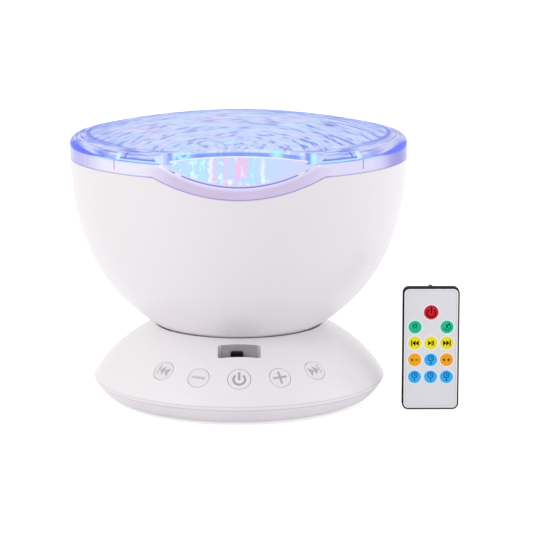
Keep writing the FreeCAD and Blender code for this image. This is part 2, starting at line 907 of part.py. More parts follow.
def bowl_shell():
    shell = bowl_volume().cut(bowl_volume(bowl_wall))
    ledge = tube(ledge_inner_radius, ledge_outer_radius, chassis_height - ledge_wall, chassis_height)
    boss_foot = chassis_height - ledge_wall - ledge_boss_height
    bosses = [rod(ledge_boss_radius, boss_foot, chassis_height, x, y) for x, y in ledge_screws]
    shell = join([shell, ledge] + bosses)
    cuts = [over_dip(), tilt_slot()]
    hole_foot = chassis_top - head_screw_length - 0.3
    cuts += [rod(head_screw_radius + fit_gap, hole_foot, chassis_height, x, y) for x, y in ledge_screws]
    return shell.cut(cuts)


def rim_ring():
    ring = tube(ring_inner_radius, bowl_rim_radius, 0, ring_top).common(over_dip())
    tongue = tube(ring_inner_radius, tongue_radius, 0, bowl_rim_height + 1).common(over_dip(tongue_depth))
    ring = join([ring, tongue])
    seat = over_eye(window_wall).common(rod(bowl_rim_radius - eye_lip, 0, 2 * FAR))
    cuts = [over_eye(), seat]
    for angle in clip_angles:
        mark = block(bowl_rim_radius - ring_mark_depth, bowl_rim_radius + 1, -ring_mark_width / 2,
                     ring_mark_width / 2, ring_top - ring_mark_height, ring_top)
        cuts.append(around(mark, angle))
    return ring.cut(cuts)


def lens_volume(inset=0.0):
    # dome with a rounded edge; an inset gives its hollow
    rounding = lens_edge_round
    outer = bowl_rim_radius
    centre_r = outer - rounding
    centre_z = ring_top + lens_edge_wall
    lean = math.asin(centre_r / (lens_cap_radius - rounding))
    cap_centre = centre_z - (lens_cap_radius - rounding) * math.cos(lean)
    round_reach = rounding - inset
    cap_reach = lens_cap_radius - inset
    meet = (centre_r + round_reach * math.sin(lean), centre_z + round_reach * math.cos(lean))
    outline = Outline(0, ring_top).line(outer - inset, ring_top).line(outer - inset, centre_z)
    outline.arc((centre_r, centre_z), meet)
    return outline.arc((0, cap_centre), (0, cap_centre + cap_reach)).solid()


def wave_lens():
    lens = lens_volume().cut(lens_volume(lens_wall))
    skirt_foot = bowl_rim_height - skirt_drop
    skirt = tube(skirt_radius - skirt_wall, skirt_radius, skirt_foot, 2 * ring_top)
    tabs = []
    for angle in clip_angles:
        tab = block(skirt_radius - 0.4, ring_inner_radius - 0.1, -clip_width / 2, clip_width / 2,
                    ring_top + 2 - clip_height, ring_top + 2)
        tabs.append(around(tab, angle))
    under = join([lens_volume(lens_wall / 2), rod(ring_inner_radius, skirt_foot, ring_top)])
    skirt = join([skirt] + tabs).common(under)
    half_gate = math.sqrt(bowl_rim_radius ** 2 - eye_start ** 2) + skirt_gate
    skirt = skirt.cut(block(-half_gate, half_gate, -FAR, 0, 0, FAR))
    return join([lens, skirt]).cut(over_eye())


def front_window():
    slab = over_eye(window_wall).cut(over_eye())
    edge = bowl_rim_radius - eye_lip - window_gap
    low_part = slab.common(rod(edge, 0, ring_top))
    high_part = slab.common(lens_volume(lens_wall + window_gap))
    return join([low_part, high_part])


def chassis():
    tray = rod(chassis_radius, chassis_height, chassis_top)
    posts = [rod(led_post_radius, chassis_top, led_board_height, x, y) for x, y in led_posts]
    tray = join([tray] + posts)
    cuts = [rod(motor_boss + 0.3, chassis_height, chassis_top)]
    cuts += [rod(head_screw_radius + 2 * fit_gap, chassis_height, chassis_top, x, y) for x, y in ledge_screws]
    cuts += [rod(small_screw + fit_gap, chassis_height, led_board_height, x, y) for x, y in led_posts]
    cuts += [rod(small_screw + 2 * fit_gap, chassis_height, chassis_top, x, y) for x, y in motor_screws]
    slot_end = ledge_inner_radius - air_slot_inset
    for turn in range(3):
        slot = block(slot_end - air_slot_width, slot_end, -air_slot_half, air_slot_half,
                     chassis_height, chassis_top)
        cuts.append(around(slot, 90 + 120 * turn))
    return tray.cut(cuts)


def head_screws():
    screws = [flat_screw(head_screw_radius, head_screw_head, head_screw_length, chassis_top, x, y, -1)
              for x, y in ledge_screws]
    led_length = led_board_lift + board_wall + led_screw_grip
    screws += [small_flat_screw(led_length, led_board_top, x, y) for x, y in led_posts]
    motor_length = chassis_wall + motor_ear_wall
    screws += [small_flat_screw(motor_length, chassis_top, x, y) for x, y in motor_screws]
    return Part.makeCompound(screws)


def led_board():
    board = tube(led_board_hole, led_board_radius, led_board_height, led_board_top)
    holes = [rod(small_screw + 2 * fit_gap, led_board_height, led_board_top, x, y) for x, y in led_posts]
    return board.cut(holes)


def leds():
    lamps = []
    half = led_size / 2
    for place in range(led_count):
        base_top = led_board_top + led_base
        base = block(led_circle - half, led_circle + half, -half, half, led_board_top, base_top)
        dome = Part.makeSphere(led_dome, V(led_circle, 0, base_top))
        dome = dome.cut(block(-FAR, FAR, -FAR, FAR, 0, led_board_top + led_base / 2))
        lamps.append(around(join([base, dome]), 360 * place / led_count))
    return Part.makeCompound(lamps)


def reflector():
    foot = chassis_top
    lip = cone_foot_radius + cone_flange
    rim = cone_top_radius + cone_flange + cone_lip
    top = cone_top_height
    outline = Outline(cone_foot_radius, foot).line(lip, foot).line(lip, foot + 1)
    outline.line(cone_foot_radius + cone_wall, foot + 1).line(cone_top_radius + cone_wall, top - 1)
    outline.line(rim, top - 1).line(rim, top).line(cone_top_radius, top)
    return outline.line(cone_foot_radius, foot + 1).solid()


def gear_motor():
    body = rod(motor_radius, chassis_height - motor_height, chassis_height)
    boss = rod(motor_boss, chassis_height, chassis_top)
    ears = block(-motor_ear_reach, motor_ear_reach, -motor_ear_width / 2, motor_ear_width / 2,
                 chassis_height - motor_ear_wall, chassis_height)
    motor = join([body, boss, ears])
    cuts = [rod(shaft_radius + fit_gap, shaft_foot - fit_gap, FAR)]
    ear_foot = chassis_height - motor_ear_wall
    cuts += [rod(small_screw + fit_gap, ear_foot, chassis_height, x, y) for x, y in motor_screws]
    return motor.cut(cuts)


def motor_shaft():
    return rod(shaft_radius, shaft_foot, shaft_top)


def disc_hub():
    hub = rod(disc_hub_radius, disc_hub_foot, disc_height)
    flange = rod(disc_flange, disc_height - disc_flange_wall, disc_height)
    spigot = rod(spigot_radius, disc_height, disc_height + disc_wall + spigot_proud)
    return join([hub, flange, spigot]).cut(rod(shaft_radius, disc_hub_foot, shaft_top))


def wave_disc():
    return tube(spigot_radius + fit_gap, disc_radius, disc_height, disc_height + disc_wall)


# Remote, drawn standing at the origin with its keys towards -Y, then set down in its place

def set_down(shape):
    placed = shape.copy()
    placed.translate(V(remote_x, remote_y, 0))
    return placed


key_pitch = 2 * (key_radius + key_flange) + key_space
remote_width = 2 * (key_pitch + key_radius + key_flange + remote_side_gap + remote_wall)
key_rows = [lowest_key_height]
for step in key_row_steps:
    key_rows.append(key_rows[-1] + key_pitch + step)
remote_height = key_rows[-1] + remote_top_space
remote_board_top = key_rows[-1] + remote_board_space
half_width = remote_width / 2
face_back = face_sunk + face_wall
board_face = face_back + key_play + key_flange_wall + key_travel + key_play + dome_height
board_back_face = board_face + remote_board_wall
cavity_back = remote_depth - remote_back_wall
tray_front = cavity_back - tray_gap / 2 - tray_wall
cell_middle = (tray_low + tray_high) / 2

key_table = (("clock_one", "clock_two", "clock_four"),
             ("minus", "clock_off", "plus"),
             ("previous", "play", "next"),
             ("light", "", "sound"),
             ("", "power", ""))
key_places = [(name, column, row) for row, names in enumerate(key_table)
              for column, name in enumerate(names, -1) if name]


def key_size(name):
    return power_key_radius if name == "power" else key_radius


def key_rod(radius, front, back, column, row):
    return Part.makeCylinder(radius, back - front, V(column * key_pitch, front, key_rows[row]), V(0, 1, 0))


def inset_plate(inset, front, back):
    corner = remote_corner - min(inset, remote_corner - 1)
    return plate(remote_width - 2 * inset, inset, remote_height - inset, corner, front, back)


def remote_outline():
    outer = inset_plate(0, 0, remote_depth)
    front = [edge for edge in outer.Edges if edge.BoundBox.YMax < 0.01]
    outer = outer.makeFillet(remote_round, front)
    back = [edge for edge in outer.Edges if edge.BoundBox.YMin > remote_depth - 0.01]
    return outer.makeFillet(remote_back_round, back)


def remote_case():
    led_hole = rod(remote_led_radius + fit_gap, remote_board_top, remote_height + 1, remote_led_x,
                   board_face + remote_led_radius)
    tray_hole = block(0, FAR, tray_front - tray_gap, cavity_back, tray_low - tray_gap, tray_high + tray_gap)
    cuts = [inset_plate(remote_rim, 0, face_back), inset_plate(remote_wall, 0, cavity_back)]
    return remote_outline().cut(cuts + [led_hole, tray_hole])


def remote_face():
    face = inset_plate(remote_rim + face_gap, face_sunk, face_back)
    return face.cut([key_rod(key_size(name) + key_gap, 0, face_back, column, row)
                     for name, column, row in key_places])


def remote_key(name, column, row):
    radius = key_size(name)
    cap = key_rod(radius, face_sunk - key_proud, face_back + key_play, column, row)
    top = [edge for edge in cap.Edges if edge.BoundBox.YMax < face_sunk - key_proud + 0.01]
    cap = cap.makeFillet(0.12, top)
    flange_front = face_back + key_play
    flange = key_rod(radius + key_flange, flange_front, flange_front + key_flange_wall, column, row)
    return join([cap, flange])


def remote_board():
    inset = remote_wall + board_gap
    board = inset_plate(inset, board_face, board_back_face)
    board = board.cut(block(-FAR, FAR, 0, FAR, remote_board_top, FAR))
    domes = [key_rod(dome_radius, board_face - dome_height, board_face, column, row)
             for name, column, row in key_places]
    chip = block(-remote_chip_half, remote_chip_half, board_back_face, board_back_face + remote_chip_wall,
                 remote_chip_foot, remote_chip_foot + 2 * remote_chip_half)
    return join([board, chip] + domes)


def remote_led():
    middle = board_face + remote_led_radius
    top = remote_height + remote_led_proud - remote_led_radius
    body = rod(remote_led_radius, remote_board_top + 0.1, top, remote_led_x, middle)
    return join([body, Part.makeSphere(remote_led_radius, V(remote_led_x, middle, top))])


def battery_tray():
    front, back = tray_front, tray_front + tray_wall
    tray = block(remote_wall + 0.2 - half_width, half_width, front, back, tray_low, tray_high)
    pocket = Part.makeCylinder(cell_radius + tray_gap, tray_wall, V(0, front, cell_middle), V(0, 1, 0))
    floor = back - (tray_wall - cell_height)
    keep = block(-FAR, FAR, floor, FAR, 0, FAR)
    return tray.cut(pocket.cut(keep)).common(remote_outline())


def battery():
    return Part.makeCylinder(cell_radius, cell_height, V(0, tray_front, cell_middle), V(0, 1, 0))


def build():
    nodes = {
        "base_shell": base_shell(), "base_cover": base_cover(), "rubber_feet": rubber_feet(),
        "case_screws": case_screws(), "seat_ring": seat_ring(), "tilt_post": tilt_post(),
        "tilt_saddle": tilt_saddle(), "disc_springs": disc_springs(), "tilt_nut": tilt_nut(),
        "speaker_frame": speaker_frame(), "speaker_cone": speaker_cone(), "speaker_magnet": speaker_magnet(),
        "main_board": main_board(), "board_screws": small_screws(),
        "button_bracket": button_bracket(), "button_switches": button_switches(),
        "ir_window": ir_window(), "ir_receiver": ir_receiver(),
        "socket_bay": socket_bay(), "audio_jack": audio_jack(), "usb_socket": usb_socket(),
        "bowl_shell": bowl_shell(), "rim_ring": rim_ring(), "wave_lens": wave_lens(),
        "front_window": front_window(), "chassis": chassis(), "head_screws": head_screws(),
        "led_board": led_board(), "leds": leds(), "reflector": reflector(), "gear_motor": gear_motor(),
        "motor_shaft": motor_shaft(), "disc_hub": disc_hub(), "wave_disc": wave_disc(),
    }
    for name, circle, angle, radius in zip(button_names, button_circles, button_angles, button_radii):
        nodes["button_" + name] = push_button(circle, angle, radius)
    remote = {
        "remote_case": remote_case(), "remote_face": remote_face(), "remote_board": remote_board(),
        "remote_led": remote_led(), "battery_tray": battery_tray(), "battery": battery(),
    }
    for name, column, row in key_places:
        remote["key_" + name] = remote_key(name, column, row)
    for name, shape in remote.items():
        nodes[name] = set_down(shape)
    return nodes


os.makedirs("parts", exist_ok=True)
for node, shape in build().items():
    shape.exportStep("parts/" + node + ".step")
    print(node, "solids", len(shape.Solids), "volume", round(shape.Volume, 1), "valid", shape.isValid())
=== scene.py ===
import json
import math

import bmesh
import bpy
import numpy as np
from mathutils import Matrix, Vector


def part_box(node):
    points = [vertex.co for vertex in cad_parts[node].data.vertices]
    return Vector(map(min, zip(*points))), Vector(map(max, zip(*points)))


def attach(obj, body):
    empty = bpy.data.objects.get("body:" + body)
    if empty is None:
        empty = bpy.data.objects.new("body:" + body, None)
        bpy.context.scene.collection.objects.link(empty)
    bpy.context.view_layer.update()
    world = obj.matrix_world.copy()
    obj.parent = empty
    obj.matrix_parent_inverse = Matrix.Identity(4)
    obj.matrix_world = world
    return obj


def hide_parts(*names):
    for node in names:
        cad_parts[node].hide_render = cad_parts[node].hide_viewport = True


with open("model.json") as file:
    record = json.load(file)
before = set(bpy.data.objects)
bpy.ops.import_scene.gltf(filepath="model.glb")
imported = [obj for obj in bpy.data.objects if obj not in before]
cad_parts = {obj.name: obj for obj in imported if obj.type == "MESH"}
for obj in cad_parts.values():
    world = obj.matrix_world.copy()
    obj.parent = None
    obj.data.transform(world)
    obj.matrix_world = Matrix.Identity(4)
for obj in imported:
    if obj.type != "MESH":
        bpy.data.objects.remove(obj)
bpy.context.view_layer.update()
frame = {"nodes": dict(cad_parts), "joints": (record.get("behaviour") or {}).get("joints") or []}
nodes = frame["nodes"]
mm = 0.001
print("frame loaded:", len(nodes), "pieces of the frame")


# Shader sums as Python expressions

class Flow:
    # one socket of a material; sums and products of it add Math nodes
    def __init__(self, tree, socket=None):
        self.tree = tree
        self.socket = socket

    def node(self, kind, settings=(), sockets=(), output=0):
        # any node: its settings come first, then the values or links of its sockets
        made = self.tree.nodes.new("ShaderNode" + kind)
        for key, value in dict(settings).items():
            setattr(made, key, value)
        for key, value in dict(sockets).items():
            if isinstance(value, Flow):
                self.tree.links.new(value.socket, made.inputs[key])
            else:
                made.inputs[key].default_value = value
        return Flow(self.tree, made.outputs[output] if len(made.outputs) else None)

    def math(self, operation, *values):
        return self.node("Math", {"operation": operation}, dict(enumerate(values)))

    def __add__(self, other):
        return self.math("ADD", self, other)

    def __sub__(self, other):
        return self.math("SUBTRACT", self, other)

    def __mul__(self, other):
        return self.math("MULTIPLY", self, other)

    def __rsub__(self, other):
        return self.math("SUBTRACT", other, self)

    __radd__ = __add__
    __rmul__ = __mul__

    def size(self):
        return self.math("ABSOLUTE", self)

    def capped(self):
        return self.math("MINIMUM", self, 1.0)

    def step(self, low, high):
        # smooth rise from 0 at low to 1 at high
        return self.node("MapRange", {"interpolation_type": "SMOOTHSTEP"}, {0: self, 1: low, 2: high})

    def bell(self, middle, width):
        # smooth hump about a value, 1 at the middle and 0 at the width
        return 1 - (self - middle).size().step(0.0, width)

    def band(self, low, high, soft):
        # 1 between two values, with soft ends
        return self.step(low - soft, low + soft) * self.step(high + soft, high - soft)


def tint(red, green, blue, alpha=1.0):
    # a screen colour of 0 to 255 as the linear colour that shaders take
    values = np.array([red, green, blue]) / 255
    linear = np.where(values <= 0.04045, values / 12.92, ((values + 0.055) / 1.055) ** 2.4)
    return (*linear.tolist(), alpha)


class Finish:
    # a material that is being put together: places, noises and colour mixes, then the shader
    def __init__(self, name):
        self.material = bpy.data.materials.new(name)
        self.material.use_nodes = True
        self.material.node_tree.nodes.clear()
        self.start = Flow(self.material.node_tree)
        place = self.start.node("TexCoord", {}, {}, "Object")
        self.point = self.start.node("VectorMath", {"operation": "SCALE"}, {0: place, "Scale": 1 / mm})

    def axes(self):
        return [self.start.node("SeparateXYZ", {}, {0: self.point}, letter) for letter in "XYZ"]

    def stretched(self, scale, turn=(0.0, 0.0, 0.0)):
        return self.start.node("Mapping", {}, {"Vector": self.point, "Scale": scale, "Rotation": turn})

    def noise(self, size, detail=2.0, point=None, rough=0.5):
        # soft noise whose lumps are about size millimetres across
        sockets = {"Vector": point or self.point, "Scale": 1.0 / size, "Detail": detail, "Roughness": rough}
        return self.start.node("TexNoise", {}, sockets)

    def attribute(self, name):
        return self.start.node("Attribute", {"attribute_name": name}, {}, "Fac")

    def mix(self, share, first, second):
        return self.start.node("Mix", {"data_type": "RGBA"}, {0: share, 6: first, 7: second}, 2)

    def bump(self, height, strength, depth):
        return self.start.node("Bump", {}, {"Height": height, "Strength": strength, "Distance": depth * mm})

    def done(self, **sockets):
        # sockets are named as on the Principled shader, with _ for a space
        named = {key.replace("_", " "): value for key, value in sockets.items()}
        shader = self.start.node("BsdfPrincipled", {}, named)
        self.start.node("OutputMaterial", {}, {"Surface": shader})
        return self.material


# Finishes of the moulded, metal and paper parts

def mouldedPlastic(name, colour, roughness, grain=0.35, shift=0.03, depth=0.012, **constants):
    # an even colour with a faint cloudiness, and a fine spark-eroded grain in roughness and relief
    finish = Finish(name)
    cloud = finish.noise(38.0, 2.0)
    darker = tuple(channel * (1 - shift) for channel in colour[:3]) + (1.0,)
    fine = finish.noise(grain, 2.0)
    broad = finish.noise(9.0, 1.0)
    shine = roughness + (fine - 0.5) * 0.08 + (broad - 0.5) * 0.05
    return finish.done(Base_Color=finish.mix(cloud.step(0.35, 0.7), colour, darker), Roughness=shine,
                       Normal=finish.bump(fine, 0.35, depth), **constants)


# painted light on the white shells: how dark the painted shade in front is, the warm tint of the painted
# light at the left, and where they fade
shade = {"dim": 0.925, "warmKeyLight": (1.0, 0.995, 0.975), "leftFade": (-10.0, -60.0), "frontFade": (0.0, -20.0),
         "middle": 14.0, "spread": 62.0}


def whiteShellWithPaintedShade(name, colour, roughness):
    # white plastic with painted light: a painted warm light towards the left and painted shade a little
    # darker in front, with a fine grain
    finish = Finish(name)
    x, y = finish.axes()[:2]
    cloud = finish.noise(38.0, 2.0)
    fine = finish.noise(0.35, 2.0)
    dim = tuple(channel * shade["dim"] for channel in colour[:3]) + (1.0,)
    warmKeyLight = tuple(channel * part for channel, part in zip(colour[:3], shade["warmKeyLight"])) + (1.0,)
    # painted light: warmer towards the left, where the key lamp falls
    warmLit = finish.mix(x.step(*shade["leftFade"]), colour, warmKeyLight)
    # painted shade: a broad, slightly cloudy darker area in front
    darker = x.bell(shade["middle"], shade["spread"]) * y.step(*shade["frontFade"]) * (0.85 + cloud * 0.3)
    return finish.done(Base_Color=finish.mix(darker, warmLit, dim), Roughness=roughness + (fine - 0.5) * 0.08,
                       Normal=finish.bump(fine, 0.35, 0.012))


def brushedMetal(name, colour, roughness, stretch=(0.2, 0.2, 6.0)):
    # metal with drawn lines along one axis and a few cloudy patches
    finish = Finish(name)
    lines = finish.noise(0.6, 3.0, finish.stretched(stretch))
    cloud = finish.noise(6.0, 2.0)
    dull = tuple(channel * 0.72 for channel in colour[:3]) + (1.0,)
    return finish.done(Base_Color=finish.mix(cloud.step(0.4, 0.75), colour, dull), Metallic=1.0,
                       Roughness=roughness + (lines - 0.5) * 0.25, Normal=finish.bump(lines, 0.2, 0.01))


def circuitBoard(name):
    # green lacquer over copper tracks: two families of stretched lumps, with round tinned pads
    finish = Finish(name)
    across = finish.noise(2.2, 0.0, finish.stretched((0.18, 1.0, 1.0)))
    along = finish.noise(2.2, 0.0, finish.stretched((1.0, 0.18, 1.0)))
    tracks = ((across - 0.5).size().step(0.05, 0.03) + (along - 0.5).size().step(0.05, 0.03)).capped()
    cells = finish.start.node("TexVoronoi", {}, {"Vector": finish.point, "Scale": 0.22})
    pads = cells.step(0.2, 0.16)
    colour = finish.mix(tracks, tint(22, 92, 58), tint(44, 128, 78))
    colour = finish.mix(pads, colour, tint(196, 190, 168))
    return finish.done(Base_Color=colour, Roughness=0.42 - pads * 0.12, Metallic=pads * 0.8,
                       Normal=finish.bump(tracks, 0.3, 0.03))


def paperCone(name):
    finish = Finish(name)
    fibres = finish.noise(0.9, 5.0, rough=0.7)
    return finish.done(Base_Color=finish.mix(fibres, tint(38, 36, 36), tint(66, 62, 60)), Roughness=0.85,
                       Normal=finish.bump(fibres, 0.6, 0.08))


def ledLens(name):
    # a clear drop that glows a little, with a yellowish phosphor in places
    finish = Finish(name)
    glow = finish.noise(1.6, 1.0).step(0.3, 0.7)
    colour = finish.mix(glow, tint(236, 238, 226), tint(204, 218, 255))
    return finish.done(Base_Color=colour, Roughness=0.12, Emission_Color=colour, Emission_Strength=0.5)


def printed(name, colour):
    # a thin print: the ink is a little uneven and duller than the plastic under it
    finish = Finish(name)
    uneven = finish.noise(0.5, 3.0)
    faint = tuple(min(1.0, channel * 1.2 + 0.003) for channel in colour[:3]) + (1.0,)
    return finish.done(Base_Color=finish.mix(uneven.step(0.45, 0.75), colour, faint), Roughness=0.5,
                       Normal=finish.bump(uneven, 0.2, 0.01), Specular_IOR_Level=0.05)


whiteColour = tint(241, 239, 241)
whitePlastic = mouldedPlastic("whitePlastic", whiteColour, 0.36)
bowlPlasticPaintedShade = whiteShellWithPaintedShade("bowlPlasticPaintedShade", tint(243, 241, 243), 0.36)
blackPlastic = mouldedPlastic("blackPlastic", tint(12, 12, 14), 0.5, shift=0.2, depth=0.004,
                              Specular_IOR_Level=0.1)
rubberGrey = mouldedPlastic("rubberGrey", tint(58, 58, 60), 0.72, grain=0.8, depth=0.05)
innerPlastic = mouldedPlastic("innerPlastic", tint(228, 228, 232), 0.45)
acetalWhite = mouldedPlastic("acetalWhite", tint(222, 221, 214), 0.4, shift=0.05)
smokyLens = mouldedPlastic("smokyLens", tint(74, 74, 82), 0.12, shift=0.2)
steelMetal = brushedMetal("steelMetal", tint(202, 202, 206), 0.3)
ferriteMetal = brushedMetal("ferriteMetal", tint(96, 94, 94), 0.5, (1.0, 1.0, 1.0))
boardFinish = circuitBoard("boardFinish")
paperFinish = paperCone("paperFinish")
ledFinish = ledLens("ledFinish")
print("finishes made")


# Surfaces worked out on grids

def meshOf(name, sheets):
    # each sheet is rows by columns by 3 in millimetres, with a flag for rows and one for columns that close
    # on themselves; where only the rows close, the two ends get a lid
    points, faces, start = [], [], 0
    for sheet, loopRows, loopColumns in sheets:
        rows, columns = sheet.shape[:2]
        row = np.arange(rows if loopRows else rows - 1)[:, None]
        column = np.arange(columns if loopColumns else columns - 1)[None, :]
        nextRow, nextColumn = (row + 1) % rows, (column + 1) % columns
        corners = [row * columns + column, row * columns + nextColumn,
                   nextRow * columns + nextColumn, nextRow * columns + column]
        faces += (np.stack(corners, axis=-1).reshape(-1, 4) + start).tolist()
        if loopRows and not loopColumns:
            faces.append((np.arange(rows) * columns + start).tolist())
            faces.append((np.arange(rows)[::-1] * columns + columns - 1 + start).tolist())
        points.append(sheet.reshape(-1, 3) * mm)
        start += rows * columns
    mesh = bpy.data.meshes.new(name)
    mesh.from_pydata(np.concatenate(points), [], faces)
    return mesh


def pieceOf(name, mesh, body, materials, slot, replaced=(), sharp=40.0):
    # the mesh is closed up at its poles, turned outwards and shaded, and rides on its body
    work = bmesh.new()
    work.from_mesh(mesh)
    bmesh.ops.remove_doubles(work, verts=work.verts, dist=1e-6)
    bmesh.ops.recalc_face_normals(work, faces=work.faces[:])
    work.to_mesh(mesh)
    work.free()
    mesh.shade_smooth()
    mesh.set_sharp_from_angle(angle=math.radians(sharp))
    made = bpy.data.objects.new(name, mesh)
    bpy.context.scene.collection.objects.link(made)
    for material in materials:
        mesh.materials.append(material)
    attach(made, body)
    if replaced:
        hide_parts(*replaced)
    return made


def addAttribute(mesh, name, values):
    attribute = mesh.attributes.new(name, "FLOAT", "POINT")
    attribute.data.foreach_set("value", np.asarray(values, np.float32))


def positions(mesh):
    # the mesh's points in millimetres
    flat = np.empty(len(mesh.vertices) * 3, np.float32)
    mesh.vertices.foreach_get("co", flat)
    return flat.reshape(-1, 3).astype(float) / mm


def corner(centre, radius, first, last, count):
    # points of an arc in the plane of radius and height; angles in degrees from straight up, outwards
    angle = np.radians(np.linspace(first, last, count))
    return np.stack([centre[0] + radius * np.sin(angle), centre[1] + radius * np.cos(angle)], axis=1)


def carriedRound(profile, angles):
    # a profile of radius and height carried round the axis: x is radius times sine of the angle from the
    # front, y is minus radius times its cosine
    radius, height = profile[:, 0, None], profile[:, 1, None]
    return np.stack([radius * np.sin(angles), -radius * np.cos(angles), height + 0 * angles], axis=-1)


# Sizes in millimetres, some read from the frame and some given

def boxOf(node):
    low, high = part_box(node)
    return np.array(low) / mm, np.array(high) / mm


shape = {
    "rimRadius": boxOf("rim_ring")[1][0],
    "ringTop": boxOf("rim_ring")[1][2],
    "bowlRim": boxOf("bowl_shell")[1][2],
    "lensTop": boxOf("wave_lens")[1][2],
    "dipInset": 9.5, "dipAngle": 41.5,
    "eyeInset": 7.65, "eyeAngle": 47.7,
}


def dipHeight(y):
    # the bowl's edge slopes down in front of a line across the rim
    start = shape["rimRadius"] - shape["dipInset"]
    rise = (y + start) * math.tan(math.radians(shape["dipAngle"]))
    return np.minimum(shape["bowlRim"], shape["bowlRim"] + rise)


def eyeHeight(y, sunk=0.0):
    # the sloping plane that cuts the front of lens and ring, lowered square to itself by sunk
    steepness = math.radians(shape["eyeAngle"])
    start = shape["rimRadius"] - shape["eyeInset"]
    return shape["ringTop"] + (y + start) * math.tan(steepness) - sunk / math.cos(steepness)


# Milky ring round the rim

ring = {"wall": 4.8, "windowWall": 2.0, "tongueInset": 3.2, "tongueDepth": 3.0, "lip": 0.6,
        "round": 0.35, "columns": 480, "markWidth": 0.5, "markHeight": 4.0, "markDepth": 0.45,
        "leftFade": (20.0, -50.0), "rightFade": (20.0, 52.0), "endFade": (56.0, 73.0),
        "farFade": (58.0, 74.0), "farSideShadeFade": (61.0, 73.0), "frontFade": (-62.0, -72.0),
        "dipFade": (-63.0, -66.0), "glints": (-25.4, 26.4), "cornerHighlights": (-32.6, 33.8),
        # the colours are mostly painted light: a lighter left, a pink glow, bluer and painted darker far
        # sides, a painted reflection at the seam, a painted highlight, a painted glow on the lip and painted
        # glints
        "pale": tint(228, 228, 251), "left": tint(236, 236, 251), "right": tint(224, 224, 252),
        "pink": tint(206, 192, 224), "ends": tint(158, 160, 232), "farSideShade": tint(116, 114, 204),
        "seam": tint(122, 116, 208), "shine": tint(196, 232, 255), "lipPaintedGlow": tint(112, 120, 236),
        "glint": tint(252, 255, 255), "markColour": tint(150, 140, 200)}


def ringFinish():
    # pearly lavender with painted light: lighter at the left, a painted pink glow under the window, and
    # painted bluer and darker sides; the seam and lip are painted in reflected and glowing violet, with a
    # painted highlight along the top edge and painted glints and corner highlights
    finish = Finish("milkyRingPaintedLight")
    x, y = finish.axes()[:2]
    cloud = finish.noise(24.0, 2.0)
    streak = finish.noise(2.4, 2.0, finish.stretched((1.0, 1.0, 0.1)))
    below = finish.attribute("belowTop")
    dip = y.step(*ring["dipFade"])
    # painted light: lighter at the left where the lamp falls, a little bluer at the right
    colour = finish.mix(x.step(*ring["leftFade"]), ring["pale"], ring["left"])
    colour = finish.mix(x.step(*ring["rightFade"]), colour, ring["right"])
    # painted glow: pinker low down under the window, as the inner light comes through
    low = below.step(0.4, 2.6) * below.step(8.5, 7.5) * y.step(*ring["frontFade"])
    colour = finish.mix(low * (0.7 + cloud * 0.4), colour, ring["pink"])
    # painted light: bluer towards the ends, then painted shade on the far sides
    ends = (x.size() + (streak - 0.5) * 3.0).step(*ring["endFade"])
    colour = finish.mix((ends * 0.9 + x.step(*ring["farFade"]) * 0.2).capped(), colour, ring["ends"])
    colour = finish.mix(x.step(*ring["farSideShadeFade"]) * 0.95, colour, ring["farSideShade"])
    # the dark joint at the seam with the bowl, painted violet as a reflection, stronger at the dip
    seamJointAndPaintedReflection = finish.attribute("aboveSeam").step(0.75, 0.25)
    colour = finish.mix(seamJointAndPaintedReflection * (0.5 + dip * 0.4), colour, ring["seam"])
    # painted highlight along the top outer edge at the sides
    edge = below.step(0.8, 0.3) * x.size().step(30.0, 36.0) * x.size().step(62.0, 52.0)
    colour = finish.mix(edge * 0.7, colour, ring["shine"])
    # painted glow along the window's lip
    lip = below.step(0.62, 0.4) * x.size().step(31.0, 27.0) * dip
    colour = finish.mix(lip * 0.95, colour, ring["lipPaintedGlow"])
    # painted glints on the lip and painted highlights at the window's corners
    left, right = ring["glints"]
    glints = (x.bell(left, 2.1) + x.bell(right, 2.3)).capped().step(0.1, 0.5)
    glints = glints * below.step(0.55, 0.3)
    left, right = ring["cornerHighlights"]
    cornerHighlights = (x.bell(left, 1.5) + x.bell(right, 1.0) * 0.8).capped() * below.step(1.3, 0.5) * dip
    colour = finish.mix((glints + cornerHighlights).capped() * dip, colour, ring["glint"])
    colour = finish.mix(finish.attribute("mark") * 0.9, colour, ring["markColour"])
    fine = finish.noise(0.6, 2.0)
    # painted glow: the colour also glows faintly
    return finish.done(Base_Color=colour, Roughness=0.22 + (fine - 0.5) * 0.08, Emission_Color=colour,
                       Emission_Strength=0.06, Specular_IOR_Level=0.2,
                       Normal=finish.bump(fine, 0.15, 0.01))


